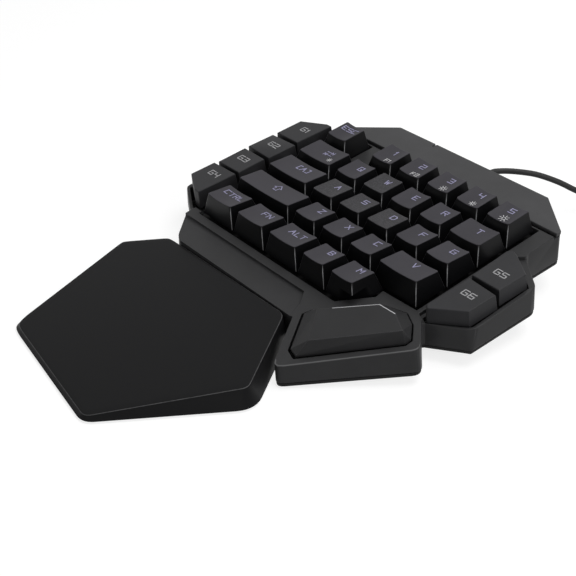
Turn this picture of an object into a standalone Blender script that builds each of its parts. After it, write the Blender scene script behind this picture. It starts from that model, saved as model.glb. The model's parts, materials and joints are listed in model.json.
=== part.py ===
"""One-handed gaming keypad with a detachable wrist rest, as separate solids.

World frame: +X runs along the key rows, +Y to the rear, +Z up, the desk at zero height.
The deck and everything parallel to it hangs on an empty that is tilted about X.
"""
import math

import bmesh
import bpy
from mathutils import Matrix, Vector

# Key block
KEY_PITCH = 0.01905
KEY_GAP = 0.0008
KEY_TRAVEL = 0.0028
CAP_HEIGHT = 0.0100
CAP_WALL = 0.0012
CAP_TOP_INSET = 0.0030
CAP_DISH = 0.0008
CAP_SKIRT_DEPTH = 0.0006
CAP_RIM_SAG = 0.0006
CORNER_CLEARANCE = 0.0003
CORNER_NOTCH_HEIGHT = 0.0050
CORNER_BLOCK_SHARE = 0.95
DISH_STRIPS = 4

# Side keys and thumb key
LEFT_CAP_HEIGHT = 0.0070
RIGHT_CAP_HEIGHT = 0.0055
SIDE_CAP_FLARE = 0.0005
SIDE_TRAVEL = 0.0015
THUMB_HEIGHT = 0.0063
THUMB_RIM_HEIGHT = 0.0003
THUMB_LENGTH = 0.0606
THUMB_ANGLE = math.radians(53.8)

# Planes of the case
DECK_HEIGHT = 0.02247
DECK_TILT = math.atan(0.13)
BASE_HEIGHT = 0.0082
BASE_TILT = math.atan(0.08)
COVER_WALL = 0.0020
DECK_DEPTH = 0.0040
WING_DROP = 0.0020
STRIP_DROP = 0.0015
STRIP_EDGE_DROP = 0.0002
BOTTOM_THICKNESS = 0.0015
BOTTOM_INSET = 0.0002
CASE_CORNER = 0.0016
THUMB_FRONT_CORNER = 0.0045
THUMB_RIGHT_CORNER = 0.0040
WING_CORNER = 0.0030
CORNER_STEPS = 2
WIDE_CORNER_STEPS = 5

# Rear trim
TRIM_SINK = 0.0015
TRIM_RISE = 0.0008
TRIM_GROOVE = 0.0018
NOTCH_WIDTH = 0.0010
NOTCH_LENGTH = 0.0035

# Key frame, dome sheet and membrane
FRAME_THICKNESS = 0.0008
SLEEVE_RISE = 0.0015
POST_RADIUS = 0.0026
SLEEVE_WALL = 0.0011
ROUND_SIDES = 8
SHEET_THICKNESS = 0.0004
DOME_SLACK = 0.0001
DOME_BASE_RADIUS = 0.0052
DOME_TOP_RADIUS = 0.0027
DOME_WALL = 0.0004
MEMBRANE_THICKNESS = 0.0002
RIB_WIDTH = 0.0016

# Controller board
BOARD_WIDTH = 0.050
BOARD_LENGTH = 0.011
BOARD_THICKNESS = 0.0016
BOARD_STAND = 0.0030

# Screws
SCREW_SHANK_RADIUS = 0.0010
SCREW_HEAD_RADIUS = 0.0020
SCREW_HEAD_HEIGHT = 0.0012
SCREW_GRIP = 0.0030
BOSS_RADIUS = 0.0032
BOSS_HEIGHT = 0.0026
SCREW_SIDES = 12

# Front pads and flip feet
PAD_RADIUS = 0.0045
PAD_SIDES = 16
FOOT_WIDTH = 0.0220
FOOT_THICKNESS = 0.0030
FOOT_LEAN = 0.0012
FOOT_BARREL_RADIUS = 0.0018
FOOT_PIN_RADIUS = 0.0009
FOOT_PIN_LENGTH = 0.0012
FOOT_PIVOT_RISE = 0.0022
POCKET_ROOF = 0.0010
POCKET_WALL = 0.0018
POCKET_MARGIN = 0.0012

# Wrist rest
WRIST_WIDTH = 0.1286
WRIST_DEPTH = 0.0979
WRIST_HEIGHT = 0.0120
WRIST_SLOPE = 0.10
WRIST_CROSS_SLOPE = 0.02
WRIST_LIFT = 0.0008
WRIST_FLARE = 0.0012
WRIST_SIDE_FLARE = 0.0031
WRIST_SKIN = 0.0016
WRIST_BASE_THICKNESS = 0.0012
WRIST_PAD_LENGTH = 0.0400
WRIST_PAD_WIDTH = 0.0060
TONGUE_WIDTH = 0.0140
TONGUE_THICKNESS = 0.0020
TONGUE_REACH = 0.0070
TONGUE_HEIGHT = 0.0064
TONGUE_ROOT = 0.0030

# Cable
CABLE_RADIUS = 0.0015
CABLE_EXIT_HEIGHT = 0.0231
RELIEF_RADIUS = 0.0026
RELIEF_TIP_RADIUS = 0.0020
RELIEF_LENGTH = 0.0110
RELIEF_FLANGE_RADIUS = 0.0035
RELIEF_FLANGE = 0.0012
RELIEF_SIDES = 16
COIL_INNER_RADIUS = 0.0110
COIL_SPACING = 0.0036
COIL_LAYER_LOOPS = 3.25
COIL_LAYERS = 4
COIL_CLIMB_SHARE = 0.5
COIL_LOOP_POINTS = 24
CABLE_RESOLUTION = 2
CURVE_SAMPLES = 12
COIL_RESOLUTION = 1
PLUG_LENGTH = 0.0300
PLUG_WIDTH = 0.0160
PLUG_HEIGHT = 0.0080
PLUG_CHAMFER = 0.0012
SHELL_LENGTH = 0.0140
SHELL_WIDTH = 0.0120
SHELL_HEIGHT = 0.0045
SHELL_WALL = 0.0003
SHELL_DEPTH = 0.0100

# Clearances
GAP = 0.0003
OVERRUN = 0.0010
MERGE_DISTANCE = 0.00001

# Depths below the deck surface that follow from the travels
FRAME_DEPTH = CAP_SKIRT_DEPTH + CAP_RIM_SAG + KEY_TRAVEL + GAP
SHEET_DEPTH = FRAME_DEPTH + FRAME_THICKNESS + KEY_TRAVEL + DOME_SLACK
SIDE_SKIRT_DEPTH = FRAME_DEPTH - SIDE_TRAVEL - GAP

# Rows of the key block from the rear: name, left edge and width in key pitches
KEY_ROWS = (
    (("key_esc", 0.0, 1.0), ("key_1", 1.75, 1.0), ("key_2", 2.75, 1.0), ("key_3", 3.75, 1.0),
     ("key_4", 4.75, 1.0), ("key_5", 5.75, 1.0)),
    (("key_tab", 0.0, 1.5), ("key_q", 1.5, 1.0), ("key_w", 2.5, 1.0), ("key_e", 3.5, 1.0),
     ("key_r", 4.5, 1.0), ("key_t", 5.5, 1.25)),
    (("key_caps_lock", 0.0, 1.75), ("key_a", 1.75, 1.0), ("key_s", 2.75, 1.0), ("key_d", 3.75, 1.0),
     ("key_f", 4.75, 1.0), ("key_g", 5.75, 1.0)),
    (("key_shift", 0.0, 2.25), ("key_z", 2.25, 1.0), ("key_x", 3.25, 1.0), ("key_c", 4.25, 1.0),
     ("key_v", 5.25, 1.5)),
    (("key_ctrl", 0.0, 1.25), ("key_fn", 1.25, 1.25), ("key_alt", 2.5, 1.25), ("key_b", 3.75, 1.0),
     ("key_m", 4.75, 1.0)),
)
# Front and rear edge of each row's tops: place in key pitches, height in cap heights
ROW_TOP_SHARES = (
    ((-0.265, 0.950), (0.464, 0.957)),
    ((-0.282, 0.827), (0.459, 0.776)),
    ((-0.316, 0.939), (0.434, 0.778)),
    ((-0.311, 1.020), (0.405, 0.825)),
    ((-0.347, 1.072), (0.373, 0.874)),
)
FLAT_DISH_KEYS = ("key_w", "key_a", "key_s", "key_d")
FLAT_DISH_SHARE = 0.5

# Outlines in key pitches, X then Y; the case flares out from its top to its base
CASE_SHARES = (
    (0.892, 3.701), (-0.047, 2.929), (-0.289, 2.730), (-0.289, 2.310), (-0.472, 2.257),
    (-1.436, 1.706), (-1.436, -1.930), (-0.494, -2.500), (-0.289, -2.540), (-0.289, -2.793),
    (0.341, -3.465), (0.577, -3.591), (4.987, -3.591), (5.958, -4.976), (7.837, -2.409),
    (7.113, -1.654), (7.963, -1.176), (8.136, -0.971), (8.126, 0.971), (7.270, 1.601),
    (7.270, 2.835), (6.142, 3.701),
)
CASE_BASE_SHARES = (
    (0.892, 3.701), (-0.047, 2.929), (-0.289, 2.730), (-0.289, 2.310), (-0.472, 2.257),
    (-1.436, 1.706), (-1.436, -1.930), (-0.494, -2.500), (-0.289, -2.540), (-0.289, -2.793),
    (0.341, -3.465), (0.577, -3.591), (4.987, -3.591), (6.037, -4.997), (7.963, -2.420),
    (7.260, -1.748), (8.168, -1.171), (8.205, -1.113), (8.206, 0.959), (7.291, 1.654),
    (7.291, 2.880), (6.168, 3.701),
)
WIDE_CORNERS = {
    13: (THUMB_FRONT_CORNER, WIDE_CORNER_STEPS), 14: (THUMB_RIGHT_CORNER, WIDE_CORNER_STEPS),
    18: (WING_CORNER, WIDE_CORNER_STEPS),
}
WELL_SHARES = (
    (-0.026, -2.551), (5.239, -2.562), (5.827, -1.827), (5.790, -1.549), (6.850, -1.522),
    (6.850, 2.546), (1.711, 2.546), (1.711, 1.549), (1.039, 1.549), (1.039, 2.546),
    (-0.026, 2.546),
)
LEFT_WELL_SHARES = (
    (0.050, 2.275), (-0.370, 2.275), (-1.285, 1.725), (-1.285, -1.920), (-0.480, -2.415),
    (-0.300, -2.450), (0.050, -2.450),
)
RIGHT_WELL_SHARES = (
    (7.040, 1.200), (7.040, -1.540), (7.210, -1.625), (7.995, -1.090), (8.060, -0.990),
    (8.040, 0.830), (7.370, 1.330), (7.190, 1.330),
)
LEFT_STEP_SHARES = (
    (-0.289, 2.600), (-1.700, 2.600), (-1.700, -2.535), (-0.289, -2.535),
)
RIGHT_STEP_SHARES = (
    (6.960, 1.250), (6.960, -1.570), (7.090, -1.640), (7.500, -1.900), (8.400, -1.900),
    (8.400, 1.900), (7.290, 1.900), (7.290, 1.560),
)
STRIP_SHARES = (
    (-0.600, -2.803), (-0.600, -3.800), (4.990, -3.800), (4.740, -3.150), (4.462, -2.803),
)
FRAME_SHARES = (
    (-0.160, 2.598), (-0.160, 2.130), (-0.472, 2.050), (-1.250, 1.610), (-1.250, -1.810),
    (-0.525, -2.210), (-0.160, -2.290), (-0.160, -2.598), (5.171, -2.598), (5.171, -3.465),
    (6.010, -4.600), (7.560, -2.467), (6.800, -1.700), (7.200, -1.450), (7.960, -1.000),
    (7.960, 0.866), (7.129, 1.480), (6.700, 1.575), (6.700, 2.598),
)
SHEET_SHARES = (
    (-0.140, 2.578), (-0.140, 2.110), (-0.472, 2.030), (-1.230, 1.590), (-1.230, -1.790),
    (-0.525, -2.190), (-0.140, -2.270), (-0.140, -2.480), (5.190, -2.480), (5.190, -3.300),
    (6.600, -3.300), (7.230, -2.430), (6.750, -1.700), (7.200, -1.430), (7.940, -0.980),
    (7.940, 0.846), (7.109, 1.460), (6.680, 1.555), (6.680, 2.578),
)
SIDE_CAP_SHARES = {
    "key_g1": ((-0.344, 2.167), (-1.050, 1.795), (-1.071, 0.966), (-0.252, 0.982), (-0.189, 2.167)),
    "key_g2": ((-1.081, 0.819), (-1.123, -0.005), (-0.226, -0.031), (-0.194, 0.861)),
    "key_g3": ((-1.118, -0.136), (-1.118, -1.034), (-0.273, -1.013), (-0.278, -0.147)),
    "key_g4": ((-1.171, -1.144), (-1.192, -1.900), (-0.520, -2.285), (-0.336, -2.300), (-0.283, -1.118)),
    "key_g5": ((7.076, 1.165), (7.118, -0.042), (7.937, -0.052), (7.974, 0.793), (7.354, 1.192),
               (7.202, 1.260)),
    "key_g6": ((7.134, -0.157), (7.100, -1.480), (7.207, -1.575), (7.960, -1.045), (7.990, -0.226)),
}
# Thumb key in shares of the thumb deck's front edge, along it and inward
THUMB_CORNER_SHARES = (5.958, -4.976)
THUMB_FOOT_SHARES = (
    (0.127, 0.153), (0.157, 0.074), (0.904, 0.073), (0.949, 0.106), (0.979, 0.261),
    (0.960, 0.386), (0.818, 0.503), (0.305, 0.545), (0.249, 0.520),
)
THUMB_TOP_SHARES = (
    (0.252, 0.106), (0.894, 0.092), (0.868, 0.281), (0.776, 0.401), (0.437, 0.422), (0.343, 0.429),
)
THUMB_POST_SHARES = (0.545, 0.360)

RIB_SHARES = (0.55, 2.60, 4.70, 6.55)
RIB_START_SHARE = -2.10
RIB_END_SHARE = 2.55
TRIM_EDGE_SHARE = 2.583
NOTCH_PLACE_SHARES = (2.278, 3.640)
BOARD_PLACE_SHARES = (3.700, 3.100)
SCREW_SHARES = ((0.815, 3.210), (5.950, 3.210), (6.970, 2.000), (0.450, -3.150), (4.640, -3.150))
FRONT_PAD_SHARES = ((0.945, -3.150), (6.010, -4.435))
FOOT_SHARES = ((1.020, 2.680), (5.780, 2.680))
CABLE_EXIT_SHARE = 3.740

# Wrist rest in shares of its width and depth, from its left rear limit
WRIST_SHARES = (
    (0.128, 0.000), (0.107, -0.007), (0.004, -0.170), (0.000, -0.190), (0.146, -0.856),
    (0.172, -0.892), (0.738, -1.000), (1.000, -0.419), (0.788, 0.000),
)
WRIST_BASE_SHARES = (
    (0.200, -0.070), (0.090, -0.200), (0.190, -0.560), (0.760, -0.700), (0.915, -0.400),
    (0.750, -0.070),
)
WRIST_RIGHT_SHARE = 6.168
TONGUE_SHARES = (0.3086, 0.5900)
WRIST_PAD_SHARES = ((0.450, -0.180), (0.480, -0.540))

# Free stretch of the cable after its relief, in metres in the key block's frame
CABLE_ROUTE = (
    (0.0712, 0.0848, 0.0231), (0.0733, 0.0890, 0.0229), (0.0782, 0.0945, 0.0225),
    (0.0835, 0.1010, 0.0213), (0.0915, 0.1105, 0.0170), (0.1010, 0.1215, 0.0100),
    (0.1115, 0.1335, 0.0055), (0.1230, 0.1460, 0.0028), (0.1350, 0.1580, 0.0018),
)
COIL_CENTRE = (0.1700, 0.1560)
COIL_START_ANGLE = math.radians(137.0)
TAIL_ROUTE = (
    (0.0080, 0.0000, 0.0115), (0.0180, 0.0004, 0.0095), (0.0290, 0.0008, 0.0062),
    (0.0380, 0.0008, 0.0044), (0.0440, 0.0008, 0.0041),
)

PART_COLLECTION = "gaming_keypad"
CUTTER_COLLECTION = "cutters"


def clear_scene():
    for item in list(bpy.data.objects):
        bpy.data.objects.remove(item, do_unlink=True)


def collection(name):
    found = bpy.data.collections.get(name)
    if found is None:
        found = bpy.data.collections.new(name)
        bpy.context.scene.collection.children.link(found)
    return found


def material(name, color, roughness, metallic=0.0):
    made = bpy.data.materials.new(name)
    made.use_nodes = True
    shader = made.node_tree.nodes["Principled BSDF"]
    shader.inputs["Base Color"].default_value = (*color, 1.0)
    shader.inputs["Roughness"].default_value = roughness
    shader.inputs["Metallic"].default_value = metallic
    return made


def add_object(name, bm, look, parent, home=PART_COLLECTION):
    bmesh.ops.recalc_face_normals(bm, faces=bm.faces)
    mesh = bpy.data.meshes.new(name)
    bm.to_mesh(mesh)
    bm.free()
    item = bpy.data.objects.new(name, mesh)
    collection(home).objects.link(item)
    item.parent = parent
    if look is not None:
        mesh.materials.append(look)
    return item


def add_cutter(name, bm, parent):
    item = add_object(name, bm, None, parent, CUTTER_COLLECTION)
    item.hide_render = True
    item.display_type = "WIRE"
    return item


def boolean(item, cutter, operation):
    modifier = item.modifiers.new(cutter.name, "BOOLEAN")
    modifier.operation = operation
    modifier.solver = "EXACT"
    modifier.object = cutter


def cut(item, cutter):
    boolean(item, cutter, "DIFFERENCE")


def join(item, added):
    boolean(item, added, "UNION")


def empty(name, parent, location, tilt=0.0):
    item = bpy.data.objects.new(name, None)
    collection(PART_COLLECTION).objects.link(item)
    item.parent = parent
    item.location = location
    item.rotation_euler = (tilt, 0.0, 0.0)
    return item


def pitches(shares):
    """Outline in metres from an outline in key pitches."""
    return [(x * KEY_PITCH, y * KEY_PITCH) for x, y in shares]


def inset(outline, amount):
    """Outline moved inward by amount, or outward where amount is negative."""
    area = sum(a[0] * b[1] - b[0] * a[1] for a, b in zip(outline, outline[1:] + outline[:1]))
    side = math.copysign(1.0, area)
    moved = []
    for index, point in enumerate(outline):
        here = Vector(point)
        before = (here - Vector(outline[index - 1])).normalized()
        after = (Vector(outline[(index + 1) % len(outline)]) - here).normalized()
        normal_before = Vector((-before.y, before.x)) * side
        normal_after = Vector((-after.y, after.x)) * side
        bisector = (normal_before + normal_after).normalized()
        here += bisector * (amount / bisector.dot(normal_after))
        moved.append((here.x, here.y))
    return moved


def softened(outline):
    """Outline of the case whose corners are cut back along both sides and rounded in between."""
    made = []
    for index, corner in enumerate(outline):
        here = Vector(corner)
        sides = (Vector(outline[index - 1]) - here, Vector(outline[(index + 1) % len(outline)]) - here)
        reach, steps = WIDE_CORNERS.get(index, (CASE_CORNER, CORNER_STEPS))
        start, end = (here + side.normalized() * min(reach, side.length / 3) for side in sides)
        for share in (step / steps for step in range(steps + 1)):
            point = start.lerp(here, share).lerp(here.lerp(end, share), share)
            made.append((point.x, point.y))
    return made


def deck_z(y):
    return DECK_HEIGHT + y * math.tan(DECK_TILT)


def base_z(y):
    return BASE_HEIGHT + y * math.tan(BASE_TILT)


def level(height):
    return lambda x, y: height


def prism(outline, bottom, top, top_outline=None):
    """Closed solid over an outline between two height functions of x and y."""
    bm = bmesh.new()
    floor = bm.faces.new([bm.verts.new((x, y, 0.0)) for x, y in outline])
    raised = bmesh.ops.extrude_face_region(bm, geom=[floor])["geom"]
    roof = next(piece for piece in raised if isinstance(piece, bmesh.types.BMFace))
    for vert in floor.verts:
        vert.co.z = bottom(vert.co.x, vert.co.y)
    pairs = {}
    for (x, y), place in zip(outline, top_outline or outline):
        pairs[min(roof.verts, key=lambda v: (v.co.x - x) ** 2 + (v.co.y - y) ** 2)] = place
    for vert, (x, y) in pairs.items():
        vert.co = (x, y, top(x, y))
    return bm


def box(center, size):
    bm = bmesh.new()
    bmesh.ops.create_cube(bm, size=1.0, matrix=Matrix.Translation(center) @ Matrix.Diagonal((*size, 1.0)))
    return bm


def rectangle(center, size):
    x, y = center
    half_x, half_y = size[0] / 2, size[1] / 2
    return [(x - half_x, y - half_y), (x + half_x, y - half_y), (x + half_x, y + half_y), (x - half_x, y + half_y)]


def cylinder(bm, center, bottom, top, radius, sides, top_radius=None):
    middle = Matrix.Translation((center[0], center[1], (bottom + top) / 2))
    bmesh.ops.create_cone(bm, cap_ends=True, segments=sides, radius1=radius,
                          radius2=radius if top_radius is None else top_radius,
                          depth=top - bottom, matrix=middle)


def round_solid(center, bottom, top, radius, sides):
    bm = bmesh.new()
    cylinder(bm, center, bottom, top, radius, sides)
    return bm


def across(item, center):
    """Turn an upright round solid to lie along X through center."""
    item.rotation_euler = (0.0, math.pi / 2, 0.0)
    item.location = center


def hollow(item):
    shell = item.modifiers.new("wall", "SOLIDIFY")
    shell.thickness = CAP_WALL
    shell.offset = -1.0
    shell.use_even_offset = True


def drop_floor(bm):
    bm.normal_update()
    lowest = min(vert.co.z for vert in bm.verts)
    floor = [face for face in bm.faces if all(vert.co.z < lowest + MERGE_DISTANCE for vert in face.verts)]
    bmesh.ops.delete(bm, geom=floor, context="FACES")


def add_post(cap, name, center, ceiling, parent):
    """Round guide post from inside the cap's ceiling down through the key frame."""
    bottom = -FRAME_DEPTH - FRAME_THICKNESS
    post = add_cutter(name + "_post", round_solid(center, bottom, ceiling - CAP_WALL / 2, POST_RADIUS,
                                                  ROUND_SIDES), parent)
    join(cap, post)


def row_place(row):
    return (2 - row) * KEY_PITCH


def block_cap(name, row, left, width, look, deck):
    """Tapered hollow cap whose top is dished along X."""
    (front_share, front_height), (rear_share, rear_height) = ROW_TOP_SHARES[row]
    half_width = width * KEY_PITCH / 2
    half_length = KEY_PITCH / 2
    dish = CAP_DISH * (FLAT_DISH_SHARE if name in FLAT_DISH_KEYS else 1.0)
    bm = bmesh.new()
    bmesh.ops.create_cube(bm, size=2.0)
    along = [edge for edge in bm.edges if abs(edge.verts[0].co.x - edge.verts[1].co.x) > 1.0]
    bmesh.ops.subdivide_edges(bm, edges=along, cuts=DISH_STRIPS - 1)
    for vert in bm.verts:
        share, front = vert.co.x, vert.co.y < 0.0
        if vert.co.z > 0.0:
            place, height = (front_share, front_height) if front else (rear_share, rear_height)
            vert.co.x = share * (half_width - CAP_TOP_INSET)
            vert.co.y = place * KEY_PITCH
            vert.co.z = height * CAP_HEIGHT - dish * (1.0 - share ** 2)
        else:
            vert.co.x = share * (half_width - KEY_GAP / 2)
            vert.co.y = math.copysign(half_length - KEY_GAP / 2, vert.co.y)
            vert.co.z = -CAP_SKIRT_DEPTH
    center = Vector((left * KEY_PITCH + half_width, row_place(row), 0.0))
    solid = bm.copy()
    drop_floor(bm)
    cap = add_object(name, bm, look, deck)
    cap.location = center
    hollow(cap)
    if name == "key_m":
        trim_corner(cap, solid, center, deck)
    ceiling = CAP_HEIGHT * (front_height + rear_height) / 2 - dish
    add_post(cap, name, center, ceiling, deck)
    return center


def trim_corner(cap, solid, center, parent):
    """Notch the cap's front right corner up to a ledge along the key well's slanting edge, and wall it in."""
    start, end = (Vector((*point, 0.0)) for point in pitches(WELL_SHARES[1:3]))
    along = (end - start).normalized()
    upward = Vector((0.0, 0.0, 1.0))
    outward = along.cross(upward)
    place = start - outward * (CORNER_CLEARANCE + KEY_GAP / 2)
    bmesh.ops.scale(solid, vec=(CORNER_BLOCK_SHARE,) * 3, verts=solid.verts)
    bmesh.ops.translate(solid, vec=center, verts=solid.verts)
    for point, normal in ((place - outward * CAP_WALL, -outward),
                          (upward * (CORNER_NOTCH_HEIGHT + CAP_WALL), upward)):
        bmesh.ops.bisect_plane(solid, geom=solid.verts[:] + solid.edges[:] + solid.faces[:],
                               plane_co=point, plane_no=normal, clear_outer=True)
        bmesh.ops.holes_fill(solid, edges=solid.edges[:])
    join(cap, add_cutter("corner_block", solid, parent))
    reach = along * KEY_PITCH
    outline = [place - reach, place - reach + outward * KEY_PITCH, place + reach + outward * KEY_PITCH,
               place + reach]
    notch = prism([(point.x, point.y) for point in outline], level(-CAP_SKIRT_DEPTH - CAP_RIM_SAG - OVERRUN),
                  level(CORNER_NOTCH_HEIGHT))
    cut(cap, add_cutter("corner_notch", notch, parent))


def side_cap(name, height, look, deck):
    top = pitches(SIDE_CAP_SHARES[name])
    bm = prism(inset(top, -SIDE_CAP_FLARE), level(-SIDE_SKIRT_DEPTH), level(height), top)
    drop_floor(bm)
    center = Vector((sum(x for x, y in top), sum(y for x, y in top), 0.0)) / len(top)
    bmesh.ops.translate(bm, verts=bm.verts, vec=-center)
    cap = add_object(name, bm, look, deck)
    cap.location = center
    hollow(cap)
    add_post(cap, name, center, height, deck)
    return center


def thumb_place(share):
    """Point of the key block's frame from shares along and across the thumb deck."""
    along = Vector((math.cos(THUMB_ANGLE), math.sin(THUMB_ANGLE)))
    inward = Vector((-along.y, along.x))
    place = Vector(pitches([THUMB_CORNER_SHARES])[0])
    place += (along * share[0] + inward * share[1]) * THUMB_LENGTH
    return (place.x, place.y)


def thumb_key(look, deck):
    """Faceted key: the hull of its foot and of its smaller top facet."""
    center = Vector((*thumb_place(THUMB_POST_SHARES), 0.0))
    bm = bmesh.new()
    for shares, height in ((THUMB_FOOT_SHARES, -CAP_SKIRT_DEPTH), (THUMB_FOOT_SHARES, THUMB_RIM_HEIGHT),
                           (THUMB_TOP_SHARES, THUMB_HEIGHT)):
        for share in shares:
            bm.verts.new(Vector((*thumb_place(share), height)) - center)
    bmesh.ops.convex_hull(bm, input=bm.verts)
    bmesh.ops.dissolve_limit(bm, angle_limit=math.radians(1.0), verts=bm.verts, edges=bm.edges)
    drop_floor(bm)
    cap = add_object("thumb_key", bm, look, deck)
    cap.location = center
    hollow(cap)
    add_post(cap, "thumb_key", center, THUMB_HEIGHT, deck)
    return center


def top_cover(look, block, deck):
    """Upper case with its walls, key well, side wells, thumb opening and screw bosses."""
    top, base = pitches(CASE_SHARES), pitches(CASE_BASE_SHARES)
    seam = BOTTOM_THICKNESS + GAP
    shell = prism(softened(base), plane_of(base_z, seam), plane_of(deck_z), softened(top))
    cover = add_object("top_cover", shell, look, block)
    cavity = prism(inset(base, COVER_WALL), plane_of(base_z, -OVERRUN), plane_of(deck_z, -DECK_DEPTH),
                   inset(top, COVER_WALL))
    cut(cover, add_cutter("cavity", cavity, block))
    above = plane_of(deck_z, TRIM_RISE + OVERRUN)
    below = plane_of(deck_z, -DECK_DEPTH - OVERRUN)
    thumb_opening = inset([thumb_place(share) for share in THUMB_FOOT_SHARES], -KEY_GAP)
    for name, opening in (("key_well", pitches(WELL_SHARES)), ("left_well", pitches(LEFT_WELL_SHARES)),
                          ("right_well", pitches(RIGHT_WELL_SHARES)), ("thumb_opening", thumb_opening)):
        cut(cover, add_cutter(name, prism(opening, below, above), block))
    for name, shares in (("left_step", LEFT_STEP_SHARES), ("right_step", RIGHT_STEP_SHARES)):
        step = prism(pitches(shares), plane_of(deck_z, -WING_DROP), above)
        cut(cover, add_cutter(name, step, block))
    cut(cover, add_cutter("strip_step", strip_step(above), block))
    recess = prism(rear_outline(-OVERRUN, TRIM_EDGE_SHARE * KEY_PITCH), plane_of(deck_z, -TRIM_SINK), above)
    cut(cover, add_cutter("trim_recess", recess, block))
    for index, center in enumerate(pitches(SCREW_SHARES)):
        floor = base_z(center[1]) + BOTTOM_THICKNESS + BOSS_HEIGHT + GAP
        roof = deck_z(center[1]) - (DECK_DEPTH + TRIM_SINK) / 2
        boss = round_solid(center, floor, roof, BOSS_RADIUS, SCREW_SIDES)
        join(cover, add_cutter(f"cover_boss_{index + 1}", boss, block))
        hole = round_solid(center, floor - OVERRUN, floor + SCREW_GRIP + GAP,
                           SCREW_SHANK_RADIUS + GAP, SCREW_SIDES)
        cut(cover, add_cutter(f"cover_hole_{index + 1}", hole, block))
    for index, share in enumerate(TONGUE_SHARES):
        cut(cover, add_cutter(f"case_slot_{index + 1}", tongue(share, GAP, OVERRUN), block))
    exit_hole = round_solid((0.0, 0.0), -COVER_WALL, COVER_WALL, RELIEF_RADIUS + GAP, RELIEF_SIDES)
    hole = add_cutter("cable_hole", exit_hole, block)
    hole.rotation_euler = (-math.pi / 2, 0.0, 0.0)
    hole.location = (CABLE_EXIT_SHARE * KEY_PITCH, rear_y() - COVER_WALL / 2, CABLE_EXIT_HEIGHT)
    cut(cover, hole)


def plane_of(height, offset=0.0):
    """Height function of x and y from a function of y alone."""
    return lambda x, y: height(y) + offset


def rear_y():
    return max(y for x, y in pitches(CASE_SHARES))


def case_front_y():
    """Front wall of the strip that the wrist rest docks against."""
    return CASE_SHARES[11][1] * KEY_PITCH


def strip_step(above):
    """Lowered front strip, deepest at its rear edge and all but gone at its front edge."""
    outline = pitches(STRIP_SHARES)
    rear, front = STRIP_SHARES[0][1] * KEY_PITCH, case_front_y()

    def floor(x, y):
        return deck_z(y) - STRIP_EDGE_DROP - (STRIP_DROP - STRIP_EDGE_DROP) * (y - front) / (rear - front)
    return prism(outline, floor, above)


def rear_outline(margin, front):
    """Case outline behind a line, grown outward by minus margin."""
    outline = inset(pitches(CASE_SHARES), margin)
    behind = []
    for here, after in zip(outline, outline[1:] + outline[:1]):
        if here[1] > front:
            behind.append(here)
        if (here[1] > front) != (after[1] > front):
            share = (front - here[1]) / (after[1] - here[1])
            behind.append((here[0] + share * (after[0] - here[0]), front))
    return behind


def rear_trim(look, block):
    """Raised panel behind the number row, with a notch in its rear edge."""
    front = TRIM_EDGE_SHARE * KEY_PITCH + TRIM_GROOVE
    panel = prism(rear_outline(0.0, front), plane_of(deck_z, GAP - TRIM_SINK), plane_of(deck_z, TRIM_RISE))
    trim = add_object("rear_trim", panel, look, block)
    place = pitches([NOTCH_PLACE_SHARES])[0]
    notch = prism(rectangle(place, (NOTCH_WIDTH, NOTCH_LENGTH)), plane_of(deck_z, 0.0),
                  plane_of(deck_z, TRIM_RISE + OVERRUN))
    cut(trim, add_cutter("trim_notch", notch, block))


def tongue_x(share):
    return WRIST_RIGHT_SHARE * KEY_PITCH - WRIST_WIDTH * (1.0 - share)


def tongue(share, margin=0.0, longer=0.0):
    """Coupling tongue of the wrist rest, or its slot where margin is a clearance."""
    front = wrist_outline(WRIST_BASE_SHARES)[0][1] - TONGUE_ROOT / 2
    rear = case_front_y() + TONGUE_REACH
    center = (tongue_x(share), (front + rear) / 2, TONGUE_HEIGHT)
    size = (TONGUE_WIDTH + 2 * margin, rear - front + 2 * longer, TONGUE_THICKNESS + 2 * margin)
    return box(center, size)


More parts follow.
